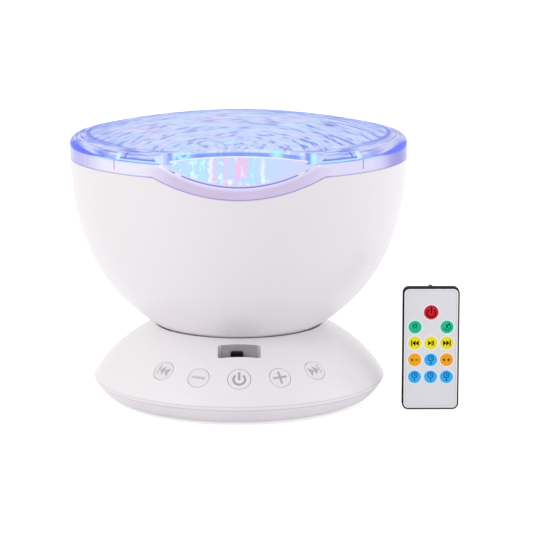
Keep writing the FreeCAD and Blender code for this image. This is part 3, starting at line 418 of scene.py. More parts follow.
def rimRing():
    # the section's points each have a radius, a height share between the slanted foot and top, and a drop
    outer, inner = shape["rimRadius"], shape["rimRadius"] - ring["wall"]
    seat, soft = outer - ring["lip"], ring["round"]
    tongue = outer - ring["tongueInset"]
    mark = np.radians([45, 135, 225, 315])
    halfMark = ring["markWidth"] / 2 / outer
    even = np.linspace(0, 2 * np.pi, ring["columns"], endpoint=False)
    extra = np.concatenate([mark + shift for shift in (-halfMark * 1.1, -halfMark, halfMark, halfMark * 1.1)])
    angles = np.unique(np.concatenate([even, extra]))
    foot, top, sunk = 0, 1, 2
    markFoot, tongueFoot = -ring["markHeight"], -ring["tongueDepth"]
    section = [(outer - soft, foot, 0.0), (outer - 0.3 * soft, foot, 0.12 * soft), (outer, foot, 0.5 * soft),
               (outer, foot, 0.9), (outer, top, markFoot - 0.05), (outer, top, markFoot),
               (outer, top, -1.2), (outer, top, -soft), (outer - 0.3 * soft, top, -0.3 * soft),
               (outer - soft, top, 0.0), (seat, top, 0.0), (seat, sunk, 0.0), (inner + soft, sunk, 0.0),
               (inner, sunk, -soft), (inner, foot, tongueFoot), (tongue, foot, tongueFoot),
               (tongue, foot, 0.0)]
    radius = np.array([point[0] for point in section])[:, None] + 0 * angles[None, :]
    level = np.array([point[1] for point in section])[:, None]
    drop = np.array([point[2] for point in section])[:, None]
    y = -radius * np.cos(angles)
    topHeight = np.minimum(shape["ringTop"], eyeHeight(y))
    sunkHeight = np.minimum(shape["ringTop"], eyeHeight(y, ring["windowWall"]))
    height = np.choose(level + 0 * radius.astype(int), [dipHeight(y), topHeight, sunkHeight]) + drop
    away = np.abs((angles[:, None] - mark[None, :] + np.pi) % (2 * np.pi) - np.pi).min(axis=1)
    inMark = (away[None, :] <= halfMark * 1.01) & (level == top) & (drop >= -ring["markHeight"] - 0.01)
    radius = np.where(inMark & (radius > seat - 0.1), radius - ring["markDepth"], radius)
    points = np.stack([radius * np.sin(angles), -radius * np.cos(angles), height], axis=-1)
    mesh = meshOf("rim_ring_moulding", [(points, True, True)])
    made = pieceOf("rim_ring_moulding", mesh, "head", [ringFinish()], "ring_plastic", ["rim_ring"], 30.0)
    spot = positions(made.data)
    reach = np.hypot(spot[:, 0], spot[:, 1])
    outside = np.where(reach > outer - 0.3, 0.0, 9.0)
    top = np.minimum(shape["ringTop"], eyeHeight(spot[:, 1]))
    swing = np.arctan2(np.abs(spot[:, 0]), np.abs(spot[:, 1]))
    addAttribute(made.data, "aboveSeam", spot[:, 2] - dipHeight(spot[:, 1]) + outside)
    addAttribute(made.data, "belowTop", top - spot[:, 2] + outside)
    addAttribute(made.data, "mark", (np.abs(swing - np.pi / 4) < halfMark * 1.05) & (top - spot[:, 2] < 4.02))
    return made


rimRing()
print("ring made")


# Rippled lens

lens = {"edgeWall": 0.4, "round": 3.3, "wall": 2.2, "columns": 640, "rows": 112,
        "waves": 15, "waveSpread": 34.0, "shortWave": 5.6, "longWave": 9.0, "rippleDepth": 0.26,
        "smoothEdge": 68.5, "smoothInner": 64.5, "seed": 11,
        "backFade": (-6.0, 50.0), "rightFade": (10.0, 66.0), "leftFade": (-40.0, -64.0),
        "strokeCentre": 72.0, "strokeLength": 6.0, "strokeWidth": 0.42,
        "gutterEdge": (68.6, 66.6), "hazeFade": (46.0, 66.0), "skirtReach": 66.9, "skirtHalf": 0.9,
        "skirtTurn": (40.0, 62.0), "rimReach": (71.8, 73.2), "rimTurn": (88.0, 105.0),
        "wallReach": (71.4, 72.6), "wedgeTurn": 72.0, "wedgeSpread": 25.0, "wedgeFoot": 0.75,
        "wedgeRise": 2.3, "frontTurn": (45.0, 42.0), "clipTurn": 43.2, "clipHalf": 1.7,
        # colours of painted light: the glow, painted strokes and highlights of light, painted shade lines,
        # painted edge glows and the bright clips seen through the lens
        "glow": (0.3, 0.48, 1.0, 1.0), "body": tint(204, 217, 252), "deep": tint(134, 156, 246),
        "stroke": tint(98, 116, 220), "bright": tint(188, 234, 255), "pale": tint(222, 232, 255),
        "pink": tint(232, 206, 248), "haze": tint(222, 214, 232), "gutter": tint(170, 180, 248),
        "rim": tint(176, 174, 218), "skirt": tint(122, 132, 238), "wedge": tint(92, 104, 250),
        "line": tint(92, 110, 216), "cyan": tint(190, 240, 255), "clip": tint(208, 247, 255)}


def lensSection(inset, count):
    # cap arc, then the rounded edge, then the short upright wall down to the ring
    outer = shape["rimRadius"]
    middle = (outer - lens["round"], shape["ringTop"] + lens["edgeWall"])
    rise = shape["lensTop"] - middle[1] - lens["round"]
    reach = (middle[0] ** 2 + rise ** 2) / (2 * rise)
    lean = math.degrees(math.asin(middle[0] / reach))
    cap = corner((0, middle[1] + rise - reach), reach + lens["round"] - inset, 0, lean, count)
    edge = corner(middle, lens["round"] - inset, lean, 90, 9)[1:]
    return np.concatenate([cap, edge, [[outer - inset, shape["ringTop"]]]])


def ripple(x, y):
    # ring waves that spread from scattered centres, added up and brought between 0 and 1
    draw = np.random.default_rng(lens["seed"])
    total = np.zeros_like(x)
    warpX = x + 2.0 * np.sin(y / 11.0 + 0.7) + 1.2 * np.sin(x / 7.0 + y / 9.0)
    warpY = y + 2.0 * np.sin(x / 12.0 + 2.1) + 1.2 * np.sin(x / 8.0 - y / 6.0)
    for _ in range(lens["waves"]):
        reach, turn = lens["waveSpread"] * math.sqrt(draw.random()), 2 * np.pi * draw.random()
        wave = lens["shortWave"] + (lens["longWave"] - lens["shortWave"]) * draw.random()
        away = np.hypot(warpX - reach * math.cos(turn), warpY - reach * math.sin(turn))
        total += np.cos(2 * np.pi * away / wave + 2 * np.pi * draw.random())
    return 0.5 + 0.5 * np.tanh(total / math.sqrt(lens["waves"]))


def lensPaintedGlow(finish, x, y):
    # painted glow, deeper to the back and the sides, with painted pink clouds and bright patches of light and
    # with painted pale highlight strokes and dark shade strokes
    wave = finish.attribute("ripple")
    slow = finish.noise(22.0, 2.0)
    highlightPatch = finish.noise(11.0, 3.0, finish.stretched((0.55, 1.3, 1.0)))
    # painted light: the glow is deeper blue to the back and the sides
    away = (y.step(*lens["backFade"]) * 1.05 + x.step(*lens["rightFade"]) * 0.3
            + x.step(*lens["leftFade"]) * 0.5).capped()
    colour = finish.mix(away, lens["body"], lens["deep"])
    colour = finish.mix(slow.step(0.54, 0.66) * (0.5 - away * 0.35), colour, lens["pink"])
    # painted highlights in bright patches
    colour = finish.mix(highlightPatch.step(0.5, 0.66) * (0.58 - away * 0.25), colour, lens["bright"])
    # the painted strokes of light and shade follow circles about a point near the window
    front = y + lens["strokeCentre"]
    circle = x.math("SQRT", x * x + front * front)
    around = x.math("ARCTAN2", x, front)
    flow = finish.start.node("CombineXYZ", {}, {0: around * lens["strokeLength"],
                                                1: circle * lens["strokeWidth"] + slow * 1.5, 2: slow * 3.0})
    strokes = finish.noise(1.0, 0.8, flow, 0.5)
    # painted highlight strokes and pale crests
    colour = finish.mix(strokes.step(0.5, 0.64) * (0.75 - away * 0.6), colour, lens["pale"])
    colour = finish.mix(wave.step(0.62, 0.95) * 0.4, colour, lens["pale"])
    # painted shade in dark strokes and in the ripples' troughs
    strokeShade = strokes.step(0.43, 0.33) * (0.5 + x.step(0.0, 45.0) * 0.35) + wave.step(0.2, 0.06) * 0.14
    return finish.mix(strokeShade.capped(), colour, lens["stroke"])


def lensGutterPaintedLight(finish, x, z, reach, swing):
    # the smooth clear border with painted streaks of light and shade that run round it, and a painted haze of
    # light at the far right
    along = finish.start.node("CombineXYZ", {}, {0: swing * 0.09, 1: reach * 0.75, 2: z * 0.4})
    streak = finish.noise(1.0, 2.0, along)
    gutter = finish.mix(streak.step(0.46, 0.62), lens["gutter"], lens["pale"])
    gutter = finish.mix(streak.step(0.44, 0.34) * 0.85, gutter, lens["skirt"])
    return finish.mix(x.step(*lens["hazeFade"]) * 0.45, gutter, lens["haze"])


def lensFinish():
    # a painted blue glow seen through ripples; further out the clear gutter, the inner wall with its painted
    # edge glow, painted shadow lines and painted highlight line, and the clips painted bright
    finish = Finish("rippledLensPaintedLight")
    reach, swing = finish.attribute("reach"), finish.attribute("swing")
    x, y, z = finish.axes()
    inside = reach.step(*lens["gutterEdge"])
    colour = finish.mix(1 - inside, lensPaintedGlow(finish, x, y), lensGutterPaintedLight(finish, x, z, reach, swing))
    # painted blue glow on the skirt seen through the lens at the sides
    skirt = reach.band(lens["skirtReach"] - lens["skirtHalf"], lens["skirtReach"] + lens["skirtHalf"], 0.5)
    colour = finish.mix(skirt * swing.step(*lens["skirtTurn"]) * 0.85, colour, lens["skirt"])
    # painted shade in a grey outline round the back
    backOutlineShade = reach.band(*lens["rimReach"], 0.8) * swing.step(*lens["rimTurn"])
    colour = finish.mix(backOutlineShade * 0.8, colour, lens["rim"])
    height = z - shape["ringTop"]
    wall = reach.step(*lens["wallReach"])
    tall = lens["wedgeFoot"] + swing.bell(lens["wedgeTurn"], lens["wedgeSpread"]) * lens["wedgeRise"]
    # painted light: a deep blue glow caught in the edge wall, tallest at the sides
    blue = (tall - height).step(-0.1, 0.7) * swing.step(43.5, 47.0)
    blue = blue * swing.step(92.0, 78.0) + height.step(2.4, 0.8) * swing.step(84.0, 100.0) * 0.45
    colour = finish.mix(blue.capped() * wall * 0.9, colour, lens["wedge"])
    # painted shade as a grey outline at the far sides
    outlineShade = swing.step(72.0, 84.0) * height.step(1.6, 0.6) * wall
    colour = finish.mix(outlineShade * 0.7, colour, lens["rim"])
    before = swing.step(*lens["frontTurn"])
    # painted shadow: a dark line between the lens and the ring
    colour = finish.mix(height.bell(1.4, 0.6).step(0.1, 0.8) * before * wall * 0.8, colour, lens["line"])
    # painted highlight: a cyan line along the lens's foot
    cyanHighlightLine = height.band(0.4, 1.0, 0.1) * before
    cyanHighlightLine = cyanHighlightLine + height.band(0.0, 0.35, 0.12) * swing.band(45.0, 56.0, 3.0)
    colour = finish.mix(cyanHighlightLine.capped() * wall, colour, lens["cyan"])
    # painted shade in a thin line at the foot of the wall
    colour = finish.mix(height.step(0.36, 0.24) * before * wall * 0.7, colour, lens["line"])
    turn = 90.0 - (swing - 90.0).size()
    side = turn.bell(lens["clipTurn"] - 3.1, 0.75).step(0.1, 0.5) * height.band(1.6, 3.6, 0.2) * wall
    colour = finish.mix(side * 0.75, colour, lens["line"])
    # the clips seen through the wall, painted bright as lit by the inner glow
    ragged = (finish.noise(1.6, 2.0) - 0.5) * 1.6
    clip = (turn + ragged).bell(lens["clipTurn"], lens["clipHalf"]).step(0.1, 0.6)
    clip = clip * (height + ragged).band(0.5, 3.3, 0.4)
    colour = finish.mix(clip * wall, colour, lens["clip"])
    clear = 0.88 + inside * 0.1 + (blue + clip) * 0.2
    fine = finish.noise(1.6, 2.0)
    # painted glow: a faint blue emission standing in for the inner light
    return finish.done(Base_Color=colour, Roughness=0.16, Emission_Color=lens["glow"], Emission_Strength=0.12,
                       Alpha=clear.capped(), Normal=finish.bump(fine, 0.12, 0.06), IOR=1.49,
                       Specular_IOR_Level=0.0, Coat_Weight=0.12, Coat_Roughness=0.06)


def lensEdgeFinish():
    # the cut edge of the lens above the window, all painted light: pale at the top, then a painted blue band
    # of light caught in the edge, with three painted glints, painted darker ends and a faint painted glow
    finish = Finish("lensEdgePaintedLight")
    x = finish.axes()[0]
    deep = finish.attribute("deep")
    streak = finish.noise(3.0, 2.0, finish.stretched((1.0, 0.2, 0.2)))
    sparkle = finish.noise(1.7, 2.0)
    band = finish.mix(streak, tint(108, 140, 240), tint(152, 186, 250))
    top = finish.mix(streak.step(0.4, 0.6), tint(192, 208, 251), tint(214, 230, 255))
    # painted light: the blue band of light caught in the cut edge
    colour = finish.mix(deep.step(0.42, 0.56) * x.size().step(30.0, 23.0), top, band)
    # painted glints
    glints = x.bell(-23.5, 7.0) * sparkle.step(0.38, 0.48) + x.bell(16.0, 4.5) + x.bell(31.6, 2.4)
    colour = finish.mix(glints.capped() * 0.9, colour, tint(182, 248, 250))
    # painted shade at the darker ends
    ends = x.size().band(28.0, 30.4, 0.9) * (0.35 + streak.step(0.4, 0.6) * 0.5)
    colour = finish.mix(ends, colour, tint(122, 142, 236))
    return finish.done(Base_Color=colour, Roughness=0.2, Emission_Color=colour, Emission_Strength=0.1,
                       Specular_IOR_Level=0.1)


def innerLensFinish():
    # the lens's inner face, seen only faintly through the outer one, with a painted glow
    finish = Finish("lensInsidePaintedGlow")
    slow = finish.noise(14.0, 2.0)
    colour = finish.mix(slow.step(0.4, 0.6), tint(150, 170, 250), tint(206, 230, 255))
    return finish.done(Base_Color=colour, Roughness=0.15, Alpha=0.35, Emission_Color=colour,
                       Emission_Strength=0.3)


def lensDome():
    # a closed shell: outer face with ripples cut into it, then the inner face back to the middle
    outer = lensSection(0.0, lens["rows"])
    inner = lensSection(lens["wall"], 14)[::-1]
    angles = np.linspace(0, 2 * np.pi, lens["columns"], endpoint=False)
    points = carriedRound(np.concatenate([outer, inner]), angles)
    rippled = points[:len(outer)]
    reach = np.hypot(rippled[..., 0], rippled[..., 1])
    fade = np.clip((lens["smoothEdge"] - reach) / (lens["smoothEdge"] - lens["smoothInner"]), 0, 1)
    rippled[..., 2] -= lens["rippleDepth"] * fade * (1 - ripple(rippled[..., 0], rippled[..., 1]))
    mesh = meshOf("wave_lens_dome", [(points, False, True)])
    steepness = math.radians(shape["eyeAngle"])
    lastOuterFace = (len(outer) - 1) * len(angles)
    materialIndex = np.zeros(len(mesh.polygons), np.int32)
    materialIndex[lastOuterFace:] = 2
    mesh.polygons.foreach_set("material_index", materialIndex)
    work = bmesh.new()
    work.from_mesh(mesh)
    bmesh.ops.remove_doubles(work, verts=work.verts, dist=1e-6)
    cut = bmesh.ops.bisect_plane(
        work, geom=work.verts[:] + work.edges[:] + work.faces[:], dist=1e-7,
        plane_co=(0, (shape["eyeInset"] - shape["rimRadius"]) * mm, shape["ringTop"] * mm),
        plane_no=(0, -math.sin(steepness), math.cos(steepness)), clear_outer=True)
    edges = [item for item in cut["geom_cut"] if isinstance(item, bmesh.types.BMEdge)]
    filled = bmesh.ops.triangle_fill(work, edges=edges, use_beauty=True, use_dissolve=False)
    for item in filled["geom"]:
        if isinstance(item, bmesh.types.BMFace):
            item.material_index = 1
    work.to_mesh(mesh)
    work.free()
    made = pieceOf("wave_lens_dome", mesh, "head", [lensFinish(), lensEdgeFinish(), innerLensFinish()],
                   "lens_plastic", ["wave_lens"], 35.0)
    spot = positions(made.data)
    reach = np.hypot(spot[:, 0], spot[:, 1])
    profile = lensSection(0.0, lens["rows"])
    surface = np.interp(reach, profile[:, 0], profile[:, 1])
    addAttribute(made.data, "ripple", ripple(spot[:, 0], spot[:, 1]))
    addAttribute(made.data, "reach", reach)
    addAttribute(made.data, "swing", np.degrees(np.arctan2(np.abs(spot[:, 0]), -spot[:, 1])))
    addAttribute(made.data, "deep", np.clip((surface - spot[:, 2]) / lens["wall"], 0, 1))
    return made


lensDome()
print("lens made")


# Front window

# the window's colours are painted light: a pale glow, streaks of pink, white and cyan light, and highlights
window = {"base": tint(192, 220, 250), "right": tint(206, 215, 250), "white": tint(236, 255, 252),
          "pink": tint(248, 190, 232), "cyan": tint(168, 240, 242),
          "streaks": [(-10.7, 1.1, "pink"), (-5.4, 0.8, "pink"), (-0.3, 2.1, "pink"), (2.7, 1.0, "pink"),
                      (-11.8, 0.9, "white"), (6.2, 0.7, "cyan"), (10.4, 0.9, "white"), (-15.5, 1.0, "cyan")]}


def windowFinish():
    # painted light throughout: a pale painted glow with upright wavering streaks of painted light, painted
    # cyan mottling at its left, and a painted white highlight along its top
    finish = Finish("frontWindowPaintedLight")
    x, y, z = finish.axes()
    colour = finish.mix(x.step(8.0, 26.0), window["base"], window["right"])
    mottle = finish.noise(2.6, 3.0, finish.stretched((1.0, 0.6, 0.6)))
    # painted cyan and white light mottled on the left part
    colour = finish.mix(mottle.step(0.5, 0.6) * x.band(-27.0, -14.0, 3.0) * 0.9, colour, window["cyan"])
    colour = finish.mix(mottle.step(0.56, 0.66) * x.band(-27.0, 7.0, 4.0) * 0.8, colour, window["white"])
    waver = (finish.noise(3.4, 3.0, finish.stretched((0.25, 0.8, 0.8)), 0.6) - 0.5) * 3.4
    upright = finish.noise(4.5, 2.0, finish.stretched((0.7, 0.35, 0.35)))
    # painted streaks of light, as the inner light shows through
    for place, width, name in window["streaks"]:
        streak = (x + waver).bell(place, width * 1.5) * upright.step(0.3, 0.5) * z.step(119.6, 117.2)
        colour = finish.mix(streak * 0.8, colour, window[name])
    # painted white light mottled low down
    low = mottle.step(0.5, 0.6) * z.step(110.2, 108.6) * x.size().step(20.0, 12.0)
    colour = finish.mix(low * 0.8, colour, window["white"])
    # painted highlight: a white line along the window's top edge
    cap = shape["lensTop"] - lens["wall"] - (x * x + y * y) * (1 / 602.8) - z
    colour = finish.mix(cap.step(0.75, 0.25), colour, tint(250, 252, 255))
    # painted glow: the colour also glows a little
    return finish.done(Base_Color=colour, Roughness=0.1, Emission_Color=colour, Emission_Strength=0.12,
                       Normal=finish.bump(mottle, 0.15, 0.08), Specular_IOR_Level=0.15)


# Pocket for the receiver and the seam round the foot

def linerFinish():
    # painted light and shade: a white painted highlight on the rim, side walls painted light where light
    # falls, and a back wall with painted shade darker towards its top, with painted shade in the corners
    finish = Finish("pocketLinerPaintedShade")
    x, y, z = finish.axes()
    low, high = boxOf("ir_window")
    wall = 0.8
    # painted shade: the back wall darker towards its top, under the overhang
    back = finish.mix(z.step(high[2] - 5.2, high[2] - 1.6), tint(196, 194, 194), tint(158, 154, 156))
    fine = finish.noise(1.2, 2.0)
    back = finish.mix(fine.step(0.4, 0.7) * 0.3, back, tint(178, 172, 174))
    inner = high[0] - wall
    # painted light: the side walls lighter where light falls on them
    side = x.size().step(inner - 1.5, inner - 1.3)
    light = finish.mix(z.step(low[2] + 1.0, high[2]), tint(226, 222, 226), tint(204, 200, 204))
    colour = finish.mix(side, back, light)
    # painted shade in the corners where the side walls meet the back
    creaseShade = x.size().bell(inner - 1.45, 0.22)
    colour = finish.mix(creaseShade * 0.6, colour, tint(150, 146, 150))
    # painted highlight: the rim is painted the shell's white
    sides = x.size().step(high[0] - wall + 0.02, high[0] - wall + 0.1)
    inward = y.step(high[1] - wall, high[1] - wall + 0.1)
    outward = y.step(low[1] + wall, low[1] + wall - 0.1)
    rim = (sides + inward + outward).capped()
    colour = finish.mix(rim, colour, whiteColour)
    return finish.done(Base_Color=colour, Roughness=0.34 + (fine - 0.5) * 0.1,
                       Normal=finish.bump(fine, 0.2, 0.01))


seam = {"height": 8.25, "half": 0.16, "colour": tint(200, 195, 200)}


def coverFinish():
    # the white plastic with the fine parting line low on the foot's flank, and above that line a painted
    # lighter band standing in for light on the rounded edge
    finish = Finish("coverPlasticPaintedLight")
    z = finish.axes()[2]
    cloud = finish.noise(38.0, 2.0)
    fine = finish.noise(0.35, 2.0)
    line = z.bell(seam["height"], seam["half"] * 2.4)
    colour = finish.mix(cloud.step(0.35, 0.7), tint(236, 233, 236), tint(232, 229, 233))
    # painted light: above the parting line the plastic is painted lighter
    colour = finish.mix(z.step(seam["height"] - 0.1, seam["height"] + 0.1), colour, tint(243, 240, 243))
    colour = finish.mix(line * 0.75, colour, seam["colour"])
    return finish.done(Base_Color=colour, Roughness=0.38 + (fine - 0.5) * 0.08,
                       Normal=finish.bump(fine - line * 6.0, 0.35, 0.012))


# Marks on buttons and keys, drawn in a plane of u to the right and v up

def bar(u, v, width, height, turn=0.0):
    # an upright or turned bar about its middle
    share = np.linspace(-0.5, 0.5, 6)
    across, along = np.meshgrid(share * width, share * height)
    angle = math.radians(turn)
    return np.stack([u + across * math.cos(angle) - along * math.sin(angle),
                     v + across * math.sin(angle) + along * math.cos(angle)], axis=-1), False


def arc(u, v, radius, line, first=0.0, last=360.0):
    # a curved stroke about a middle; angles in degrees from the right, turning up
    whole = last - first >= 360
    angle = np.radians(np.linspace(first, last, 48, endpoint=not whole))
    reach = np.array([radius - line / 2, radius + line / 2])[:, None]
    return np.stack([u + reach * np.cos(angle), v + reach * np.sin(angle)], axis=-1), whole


def wedge(u, v, length, height):
    # a triangle with its base at u and its tip a length away, to the left where the length is negative
    share = np.linspace(0, 0.98, 5)
    side = np.linspace(-0.5, 0.5, 7)[:, None]
    return np.stack([u + share * length + 0 * side, v + side * height * (1 - share)], axis=-1), False


def skip(size, way, thick):
    # two triangles and a bar: next where way is 1, previous where it is -1
    tall = 1.8 * size
    return [wedge(-1.2 * size * way, 0, size * way, tall), wedge(-0.2 * size * way, 0, size * way, tall),
            bar(1.0 * size * way, 0, thick, tall)]


def power(radius, line, tall):
    return [arc(0, -0.1 * radius, radius, line, 128, 412), bar(0, 0.55 * radius, line, tall)]


def clock(v, radius, line):
    return [arc(0, v, radius, line), bar(0.02, v + 0.3 * radius, line * 0.8, radius * 0.75),
            bar(0.25 * radius, v - 0.12 * radius, line * 0.8, radius * 0.65, 62)]


def digit(name, u, v, tall, line):
    # plain figures from straight and curved strokes, as wide as half their height
    half = tall / 2
    if name == "zero":
        return [arc(u, v + half * 0.35, half * 0.5, line, 0, 180),
                arc(u, v - half * 0.35, half * 0.5, line, 180, 360),
                bar(u - half * 0.5, v, line, half * 0.7), bar(u + half * 0.5, v, line, half * 0.7)]
    if name == "one":
        return [bar(u, v, line, tall), bar(u - 0.2 * half, v + 0.75 * half, line * 0.9, 0.6 * half, -50)]
    if name == "two":
        return [arc(u, v + half * 0.45, half * 0.5, line, -35, 170),
                bar(u - 0.05 * half, v - 0.3 * half, line, 1.15 * half, -42),
                bar(u, v - half + line / 2, 1.1 * half, line)]
    return [bar(u + 0.2 * half, v, line, tall), bar(u - 0.05 * half, v - 0.25 * half, 1.25 * half, line),
            bar(u - 0.15 * half, v + 0.35 * half, line, 1.4 * half, -38)]


def stamped(name, strokes, place, body, material, slot, lift=0.05, sunk=0.04):
    # every stroke becomes a thin closed slab on the surface that place gives
    sheets = []
    for stroke, whole in strokes:
        top, bottom = place(stroke, lift), place(stroke[::-1], -sunk)
        sheets.append((np.concatenate([top, bottom]), True, whole))
    return pieceOf(name, meshOf(name, sheets), body, [material], slot)


def pressWay(body):
    # the way out of a button or key, from the joint that it is pressed along
    joint = next(item for item in frame["joints"] if item["child"] == body)
    way = -np.array(joint["axis"], float)
    return way / np.linalg.norm(way)


slope = {"first": (boxOf("base_shell")[1][0], boxOf("base_shell")[0][2]), "control": (58.0, 24.2),
         "last": (38.2, 34.2), "inset": {"previous": 9.1, "next": 9.1}, "usualInset": 8.0, "pitch": 17.8,
         "lean": {"previous": -9.0, "minus": -4.0, "plus": 4.0, "next": 9.0}}


def slopeHeight(reach):
    # the shell's curve, a quadratic from its foot through the control point to the seat's rim
    (r0, z0), (r1, z1), (r2, z2) = slope["first"], slope["control"], slope["last"]
    square, linear = r0 - 2 * r1 + r2, 2 * (r1 - r0)
    share = (-linear - np.sqrt(linear ** 2 - 4 * square * (r0 - reach))) / (2 * square)
    return (1 - share) ** 2 * z0 + 2 * share * (1 - share) * z1 + share ** 2 * z2


def onSlope(name, turn):
    # strokes about a button's middle, laid on the curved shell
    reach = slope["first"][0] - slope["inset"].get(name, slope["usualInset"])
    angle = math.radians(turn)
    middle = np.array([reach * math.sin(angle), -reach * math.cos(angle), slopeHeight(reach)])
    out = pressWay("button_" + name)
    level = np.array([math.cos(angle), math.sin(angle), 0.0])
    lean = math.radians(slope["lean"].get(name, 0.0))
    right = level * math.cos(lean) + np.cross(out, level) * math.sin(lean)
    up = np.cross(out, right)

    def place(stroke, lift):
        spot = middle + stroke[..., :1] * right + stroke[..., 1:] * up
        spot[..., 2] = slopeHeight(np.hypot(spot[..., 0], spot[..., 1]))
        return spot + out * lift

    return place


buttonMarks = {
    "previous": (skip(2.5, -1, 0.55), tint(196, 191, 195)),
    "minus": ([bar(0, 0, 6.1, 1.15)], tint(208, 203, 208)),
    "power": (power(2.53, 1.0, 4.1), tint(174, 171, 176)),
    "plus": ([bar(0, 0, 6.2, 1.0), bar(0, 0, 1.0, 6.2)], tint(184, 182, 188)),
    "next": (skip(2.5, 1, 0.55), tint(188, 186, 192)),
}
for count, (name, (strokes, colour)) in enumerate(buttonMarks.items()):
    stamped("button_mark_" + name, strokes, onSlope(name, slope["pitch"] * (count - 2)), "button_" + name,
            printed("buttonPrint_" + name, colour), "smoke_plastic")
print("button marks made")


# Marks, halos and the painted highlight line along the remote's edge

remote = {"faceSunk": 0.1, "keyProud": 0.15, "keyRadius": 2.8, "powerRadius": 3.15, "keyGap": 0.04,
          "haloWidth": 0.62, "corner": 2.8,
          # edge lines: a white line on the bevel, painted as its highlight, then a thin grey line inside it
          "edges": ((0.72, 0.52, tint(248, 248, 250)), (1.36, 0.16, tint(196, 194, 198)))}


def onRemote(node, proud):
    # strokes about a node's middle, laid on a plane that stands proud of the case's front
    middle = sum(boxOf(node)) / 2
    front = boxOf("remote_case")[0][1] - proud

    def place(stroke, lift):
        u, v = stroke[..., 0], stroke[..., 1]
        return np.stack([middle[0] + u, front - lift + 0 * u, middle[2] + v], axis=-1)

    return place


def roundedLoop(halfWidth, halfHeight, radius):
    # a rounded rectangle as points in turn about its middle
    points = []
    for quarter, (right, up) in enumerate(((1, 1), (-1, 1), (-1, -1), (1, -1))):
        angle = np.radians(np.linspace(90 * quarter, 90 * quarter + 90, 9))
        points.append(np.stack([right * (halfWidth - radius) + radius * np.cos(angle),
                                up * (halfHeight - radius) + radius * np.sin(angle)], axis=1))
    return np.concatenate(points)


speaker = [bar(-1.6, 0, 0.4, 0.6), wedge(-0.7, 0, -1.1, 1.5)]
keyMarks = {
    "power": (power(1.85, 0.6, 3.2), "key_red", tint(96, 2, 8)),
    "light": ([arc(0, 0.55, 0.72, 0.42)] + [bar(1.25 * math.cos(turn), 0.55 + 1.25 * math.sin(turn), 0.3, 0.3,
              math.degrees(turn)) for turn in np.radians(range(0, 360, 60))], "key_green", tint(4, 104, 72)),
    "sound": ([arc(0, 0.1, 1.45, 0.36, -160, 60), bar(0.72, 1.36, 0.75, 0.75, 30), bar(0, 0.35, 0.75, 1.5)],
              "key_green", tint(0, 72, 48)),
    "previous": (skip(1.42, -1, 0.5), "black_plastic", tint(8, 2, 0)),
    "play": ([wedge(-1.25, 0, 1.5, 2.2), bar(0.52, 0, 0.42, 2.2), bar(1.15, 0, 0.42, 2.2)],
             "black_plastic", tint(14, 6, 0)),
    "next": (skip(1.42, 1, 0.5), "black_plastic", tint(8, 2, 0)),
    "minus": (speaker + [bar(0.9, 0, 1.5, 0.42)], "key_orange", tint(128, 62, 4)),
    "plus": (speaker + [bar(0.9, 0, 1.5, 0.42), bar(0.9, 0, 0.42, 1.5)], "key_orange", tint(132, 58, 4)),
}
clockColours = {"off": ("zero", tint(4, 78, 160)), "one": ("one", tint(4, 78, 164)),
                "two": ("two", tint(6, 80, 156)), "four": ("four", tint(2, 76, 166))}
for name, (figure, colour) in clockColours.items():
    strokes = clock(0.75, 1.15, 0.42) + digit(figure, 0, -1.45, 1.2, 0.28)
    keyMarks["clock_" + name] = (strokes, "key_blue", colour)
halos = {"key_red": tint(255, 240, 242), "key_green": tint(226, 255, 244), "key_orange": tint(255, 244, 226),
         "black_plastic": tint(252, 250, 226), "key_blue": tint(228, 246, 255)}
haloFinishes = {slot: printed("haloPrint_" + slot, colour) for slot, colour in halos.items()}
for name, (strokes, slot, colour) in keyMarks.items():
    key = "key_" + name
    stamped("key_mark_" + name, strokes, onRemote(key, remote["keyProud"]), key,
            printed("keyPrint_" + name, colour), slot, 0.02, 0.05)
    inner = remote["powerRadius" if name == "power" else "keyRadius"] + remote["keyGap"]
    ringStroke = arc(0, 0, inner + remote["haloWidth"] / 2, remote["haloWidth"])
    stamped("key_halo_" + name, [ringStroke], onRemote(key, -remote["faceSunk"]), "remote",
            haloFinishes[slot], "remote_face", 0.02, 0.05)

caseHalf = (boxOf("remote_case")[1] - boxOf("remote_case")[0]) / 2
# painted highlight: the white line along the case's bevel; the thin grey line lies inside it
for count, (inset, width, colour) in enumerate(remote["edges"]):
    loops = [roundedLoop(caseHalf[0] - reach, caseHalf[2] - reach, remote["corner"] - reach)
             for reach in (inset, inset + width)]
    stamped("remote_edge_line_%d" % count, [(np.stack(loops), True)],
            onRemote("remote_case", -remote["faceSunk"]), "remote",
            printed("edgeHighlightPaint_%d" % count, colour), "remote_face", 0.02, 0.05)
print("remote's marks made")


# Camera, light and floor

camera = {"elevation": 10.8, "distance": 1.14, "middle": (0.0, 0.0, 0.0612),
          "aim": (0.01395, -0.00073, 0.0574), "lens": 168.9, "sensor": 36.0}


def makeCamera():
    data = bpy.data.cameras.new("camera")
    data.lens, data.sensor_width = camera["lens"], camera["sensor"]
    data.clip_start, data.clip_end = 0.05, 20.0
    made = bpy.data.objects.new("camera", data)
    bpy.context.scene.collection.objects.link(made)
    tilt = math.radians(camera["elevation"])
    back = Vector((0, -math.cos(tilt), math.sin(tilt)))
    made.location = Vector(camera["middle"]) + back * camera["distance"]
    made.rotation_euler = (Vector(camera["aim"]) - made.location).to_track_quat("-Z", "Y").to_euler()
    bpy.context.scene.camera = made


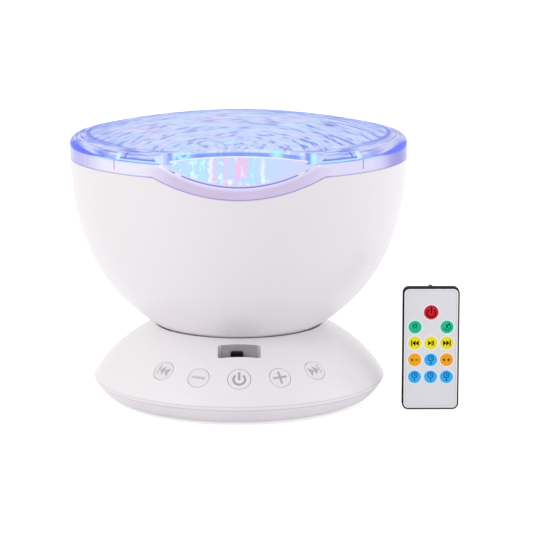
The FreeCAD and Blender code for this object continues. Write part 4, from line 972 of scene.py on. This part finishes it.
light = {"world": tint(250, 247, 250), "worldStrength": 0.80, "floor": tint(249, 248, 250),
         "floorGlow": 0.02, "floorShown": 0.6, "floorReach": 6.0, "floorPlace": -0.2,
         "key": {"place": (-1.6, -1.5, 1.2), "size": 1.2, "power": 9.5, "colour": (1.0, 0.985, 0.965)},
         "fill": {"place": (1.9, -0.3, 0.7), "size": 1.4, "power": 5.5, "colour": (0.98, 0.98, 1.0)}}


def whiteForCamera(start):
    # 1 for what the camera sees, straight or by way of gloss and glass
    seen, gloss, through = (start.node("LightPath", {}, {}, "Is %s Ray" % kind)
                            for kind in ("Camera", "Glossy", "Transmission"))
    return seen.math("MAXIMUM", seen.math("MAXIMUM", seen, gloss), through)


def makeWorld():
    world = bpy.data.worlds.new("studio")
    bpy.context.scene.world = world
    world.use_nodes = True
    world.node_tree.nodes.clear()
    start = Flow(world.node_tree)
    seen = whiteForCamera(start)
    strength = light["worldStrength"] + seen * (1.0 - light["worldStrength"])
    colour = start.node("Mix", {"data_type": "RGBA"}, {0: seen, 6: light["world"], 7: (1, 1, 1, 1)}, 2)
    background = start.node("Background", {}, {0: colour, 1: strength})
    start.node("OutputWorld", {}, {0: background})


def makeLamp(name):
    lamp = light[name]
    data = bpy.data.lights.new(name, "AREA")
    data.shape, data.size = "DISK", lamp["size"]
    data.energy, data.color = lamp["power"], lamp["colour"]
    made = bpy.data.objects.new(name, data)
    bpy.context.scene.collection.objects.link(made)
    made.location = lamp["place"]
    made.rotation_euler = (Vector((0, 0, 0.06)) - made.location).to_track_quat("-Z", "Y").to_euler()


def makeFloor():
    # a plain white sheet: dull white that takes the shadow, with enough glow for the camera to stay white
    reach = light["floorReach"]
    corners = [(-reach, -reach, 0), (reach, -reach, 0), (reach, reach, 0), (-reach, reach, 0)]
    mesh = bpy.data.meshes.new("floor")
    mesh.from_pydata(corners, [], [(0, 1, 2, 3)])
    made = bpy.data.objects.new("floor", mesh)
    bpy.context.scene.collection.objects.link(made)
    made.location.z = light["floorPlace"] * mm
    material = bpy.data.materials.new("floorWhite")
    material.use_nodes = True
    material.node_tree.nodes.clear()
    start = Flow(material.node_tree)
    dull = start.node("BsdfDiffuse", {}, {"Color": light["floor"]})
    strength = light["floorGlow"] + whiteForCamera(start) * light["floorShown"]
    glow = start.node("Emission", {}, {"Color": (1, 1, 1, 1), "Strength": strength})
    start.node("OutputMaterial", {}, {0: start.node("AddShader", {}, {0: dull, 1: glow})})
    mesh.materials.append(material)


makeCamera()
makeWorld()
makeLamp("key")
makeLamp("fill")
makeFloor()
bpy.context.scene.view_settings.view_transform = "Standard"
print("camera, light and floor made")


# Finishes of the frame's own pieces

finishes = {
    "white_shell": whitePlastic, "ring_plastic": whitePlastic, "lens_plastic": windowFinish(),
    "smoke_plastic": linerFinish(), "rubber": rubberGrey, "steel": steelMetal, "magnet": ferriteMetal,
    "speaker_paper": paperFinish, "acetal": acetalWhite, "circuit_board": boardFinish,
    "inner_plastic": innerPlastic, "black_plastic": blackPlastic, "led_lens": ledFinish,
    "remote_face": mouldedPlastic("remoteFace", tint(229, 231, 234), 0.4, Specular_IOR_Level=0.3),
}
keyColours = {"key_red": tint(206, 20, 40), "key_green": tint(22, 196, 148), "key_yellow": tint(246, 234, 30),
              "key_orange": tint(250, 174, 22), "key_blue": tint(52, 184, 254)}
for slot, colour in keyColours.items():
    finishes[slot] = mouldedPlastic(slot, colour, 0.45, shift=0.06, Specular_IOR_Level=0.2)
# the cover carries a painted lighter band; the bowl and the base shell carry painted shade in front and
# painted warm light at the left
ownFinishes = {"base_cover": coverFinish(), "remote_led": smokyLens,
               "bowl_shell": bowlPlasticPaintedShade, "base_shell": whiteShellWithPaintedShade("shellPlasticPaintedShade", tint(248, 246, 248), 0.36)}


def dressFrame():
    # each solid gets the finish of its own name if it has one, and else that of its slot
    for name, node in nodes.items():
        for index, material in enumerate(node.data.materials):
            node.data.materials[index] = ownFinishes.get(name) or finishes[material.name.split(".")[0]]


dressFrame()
print("frame dressed")
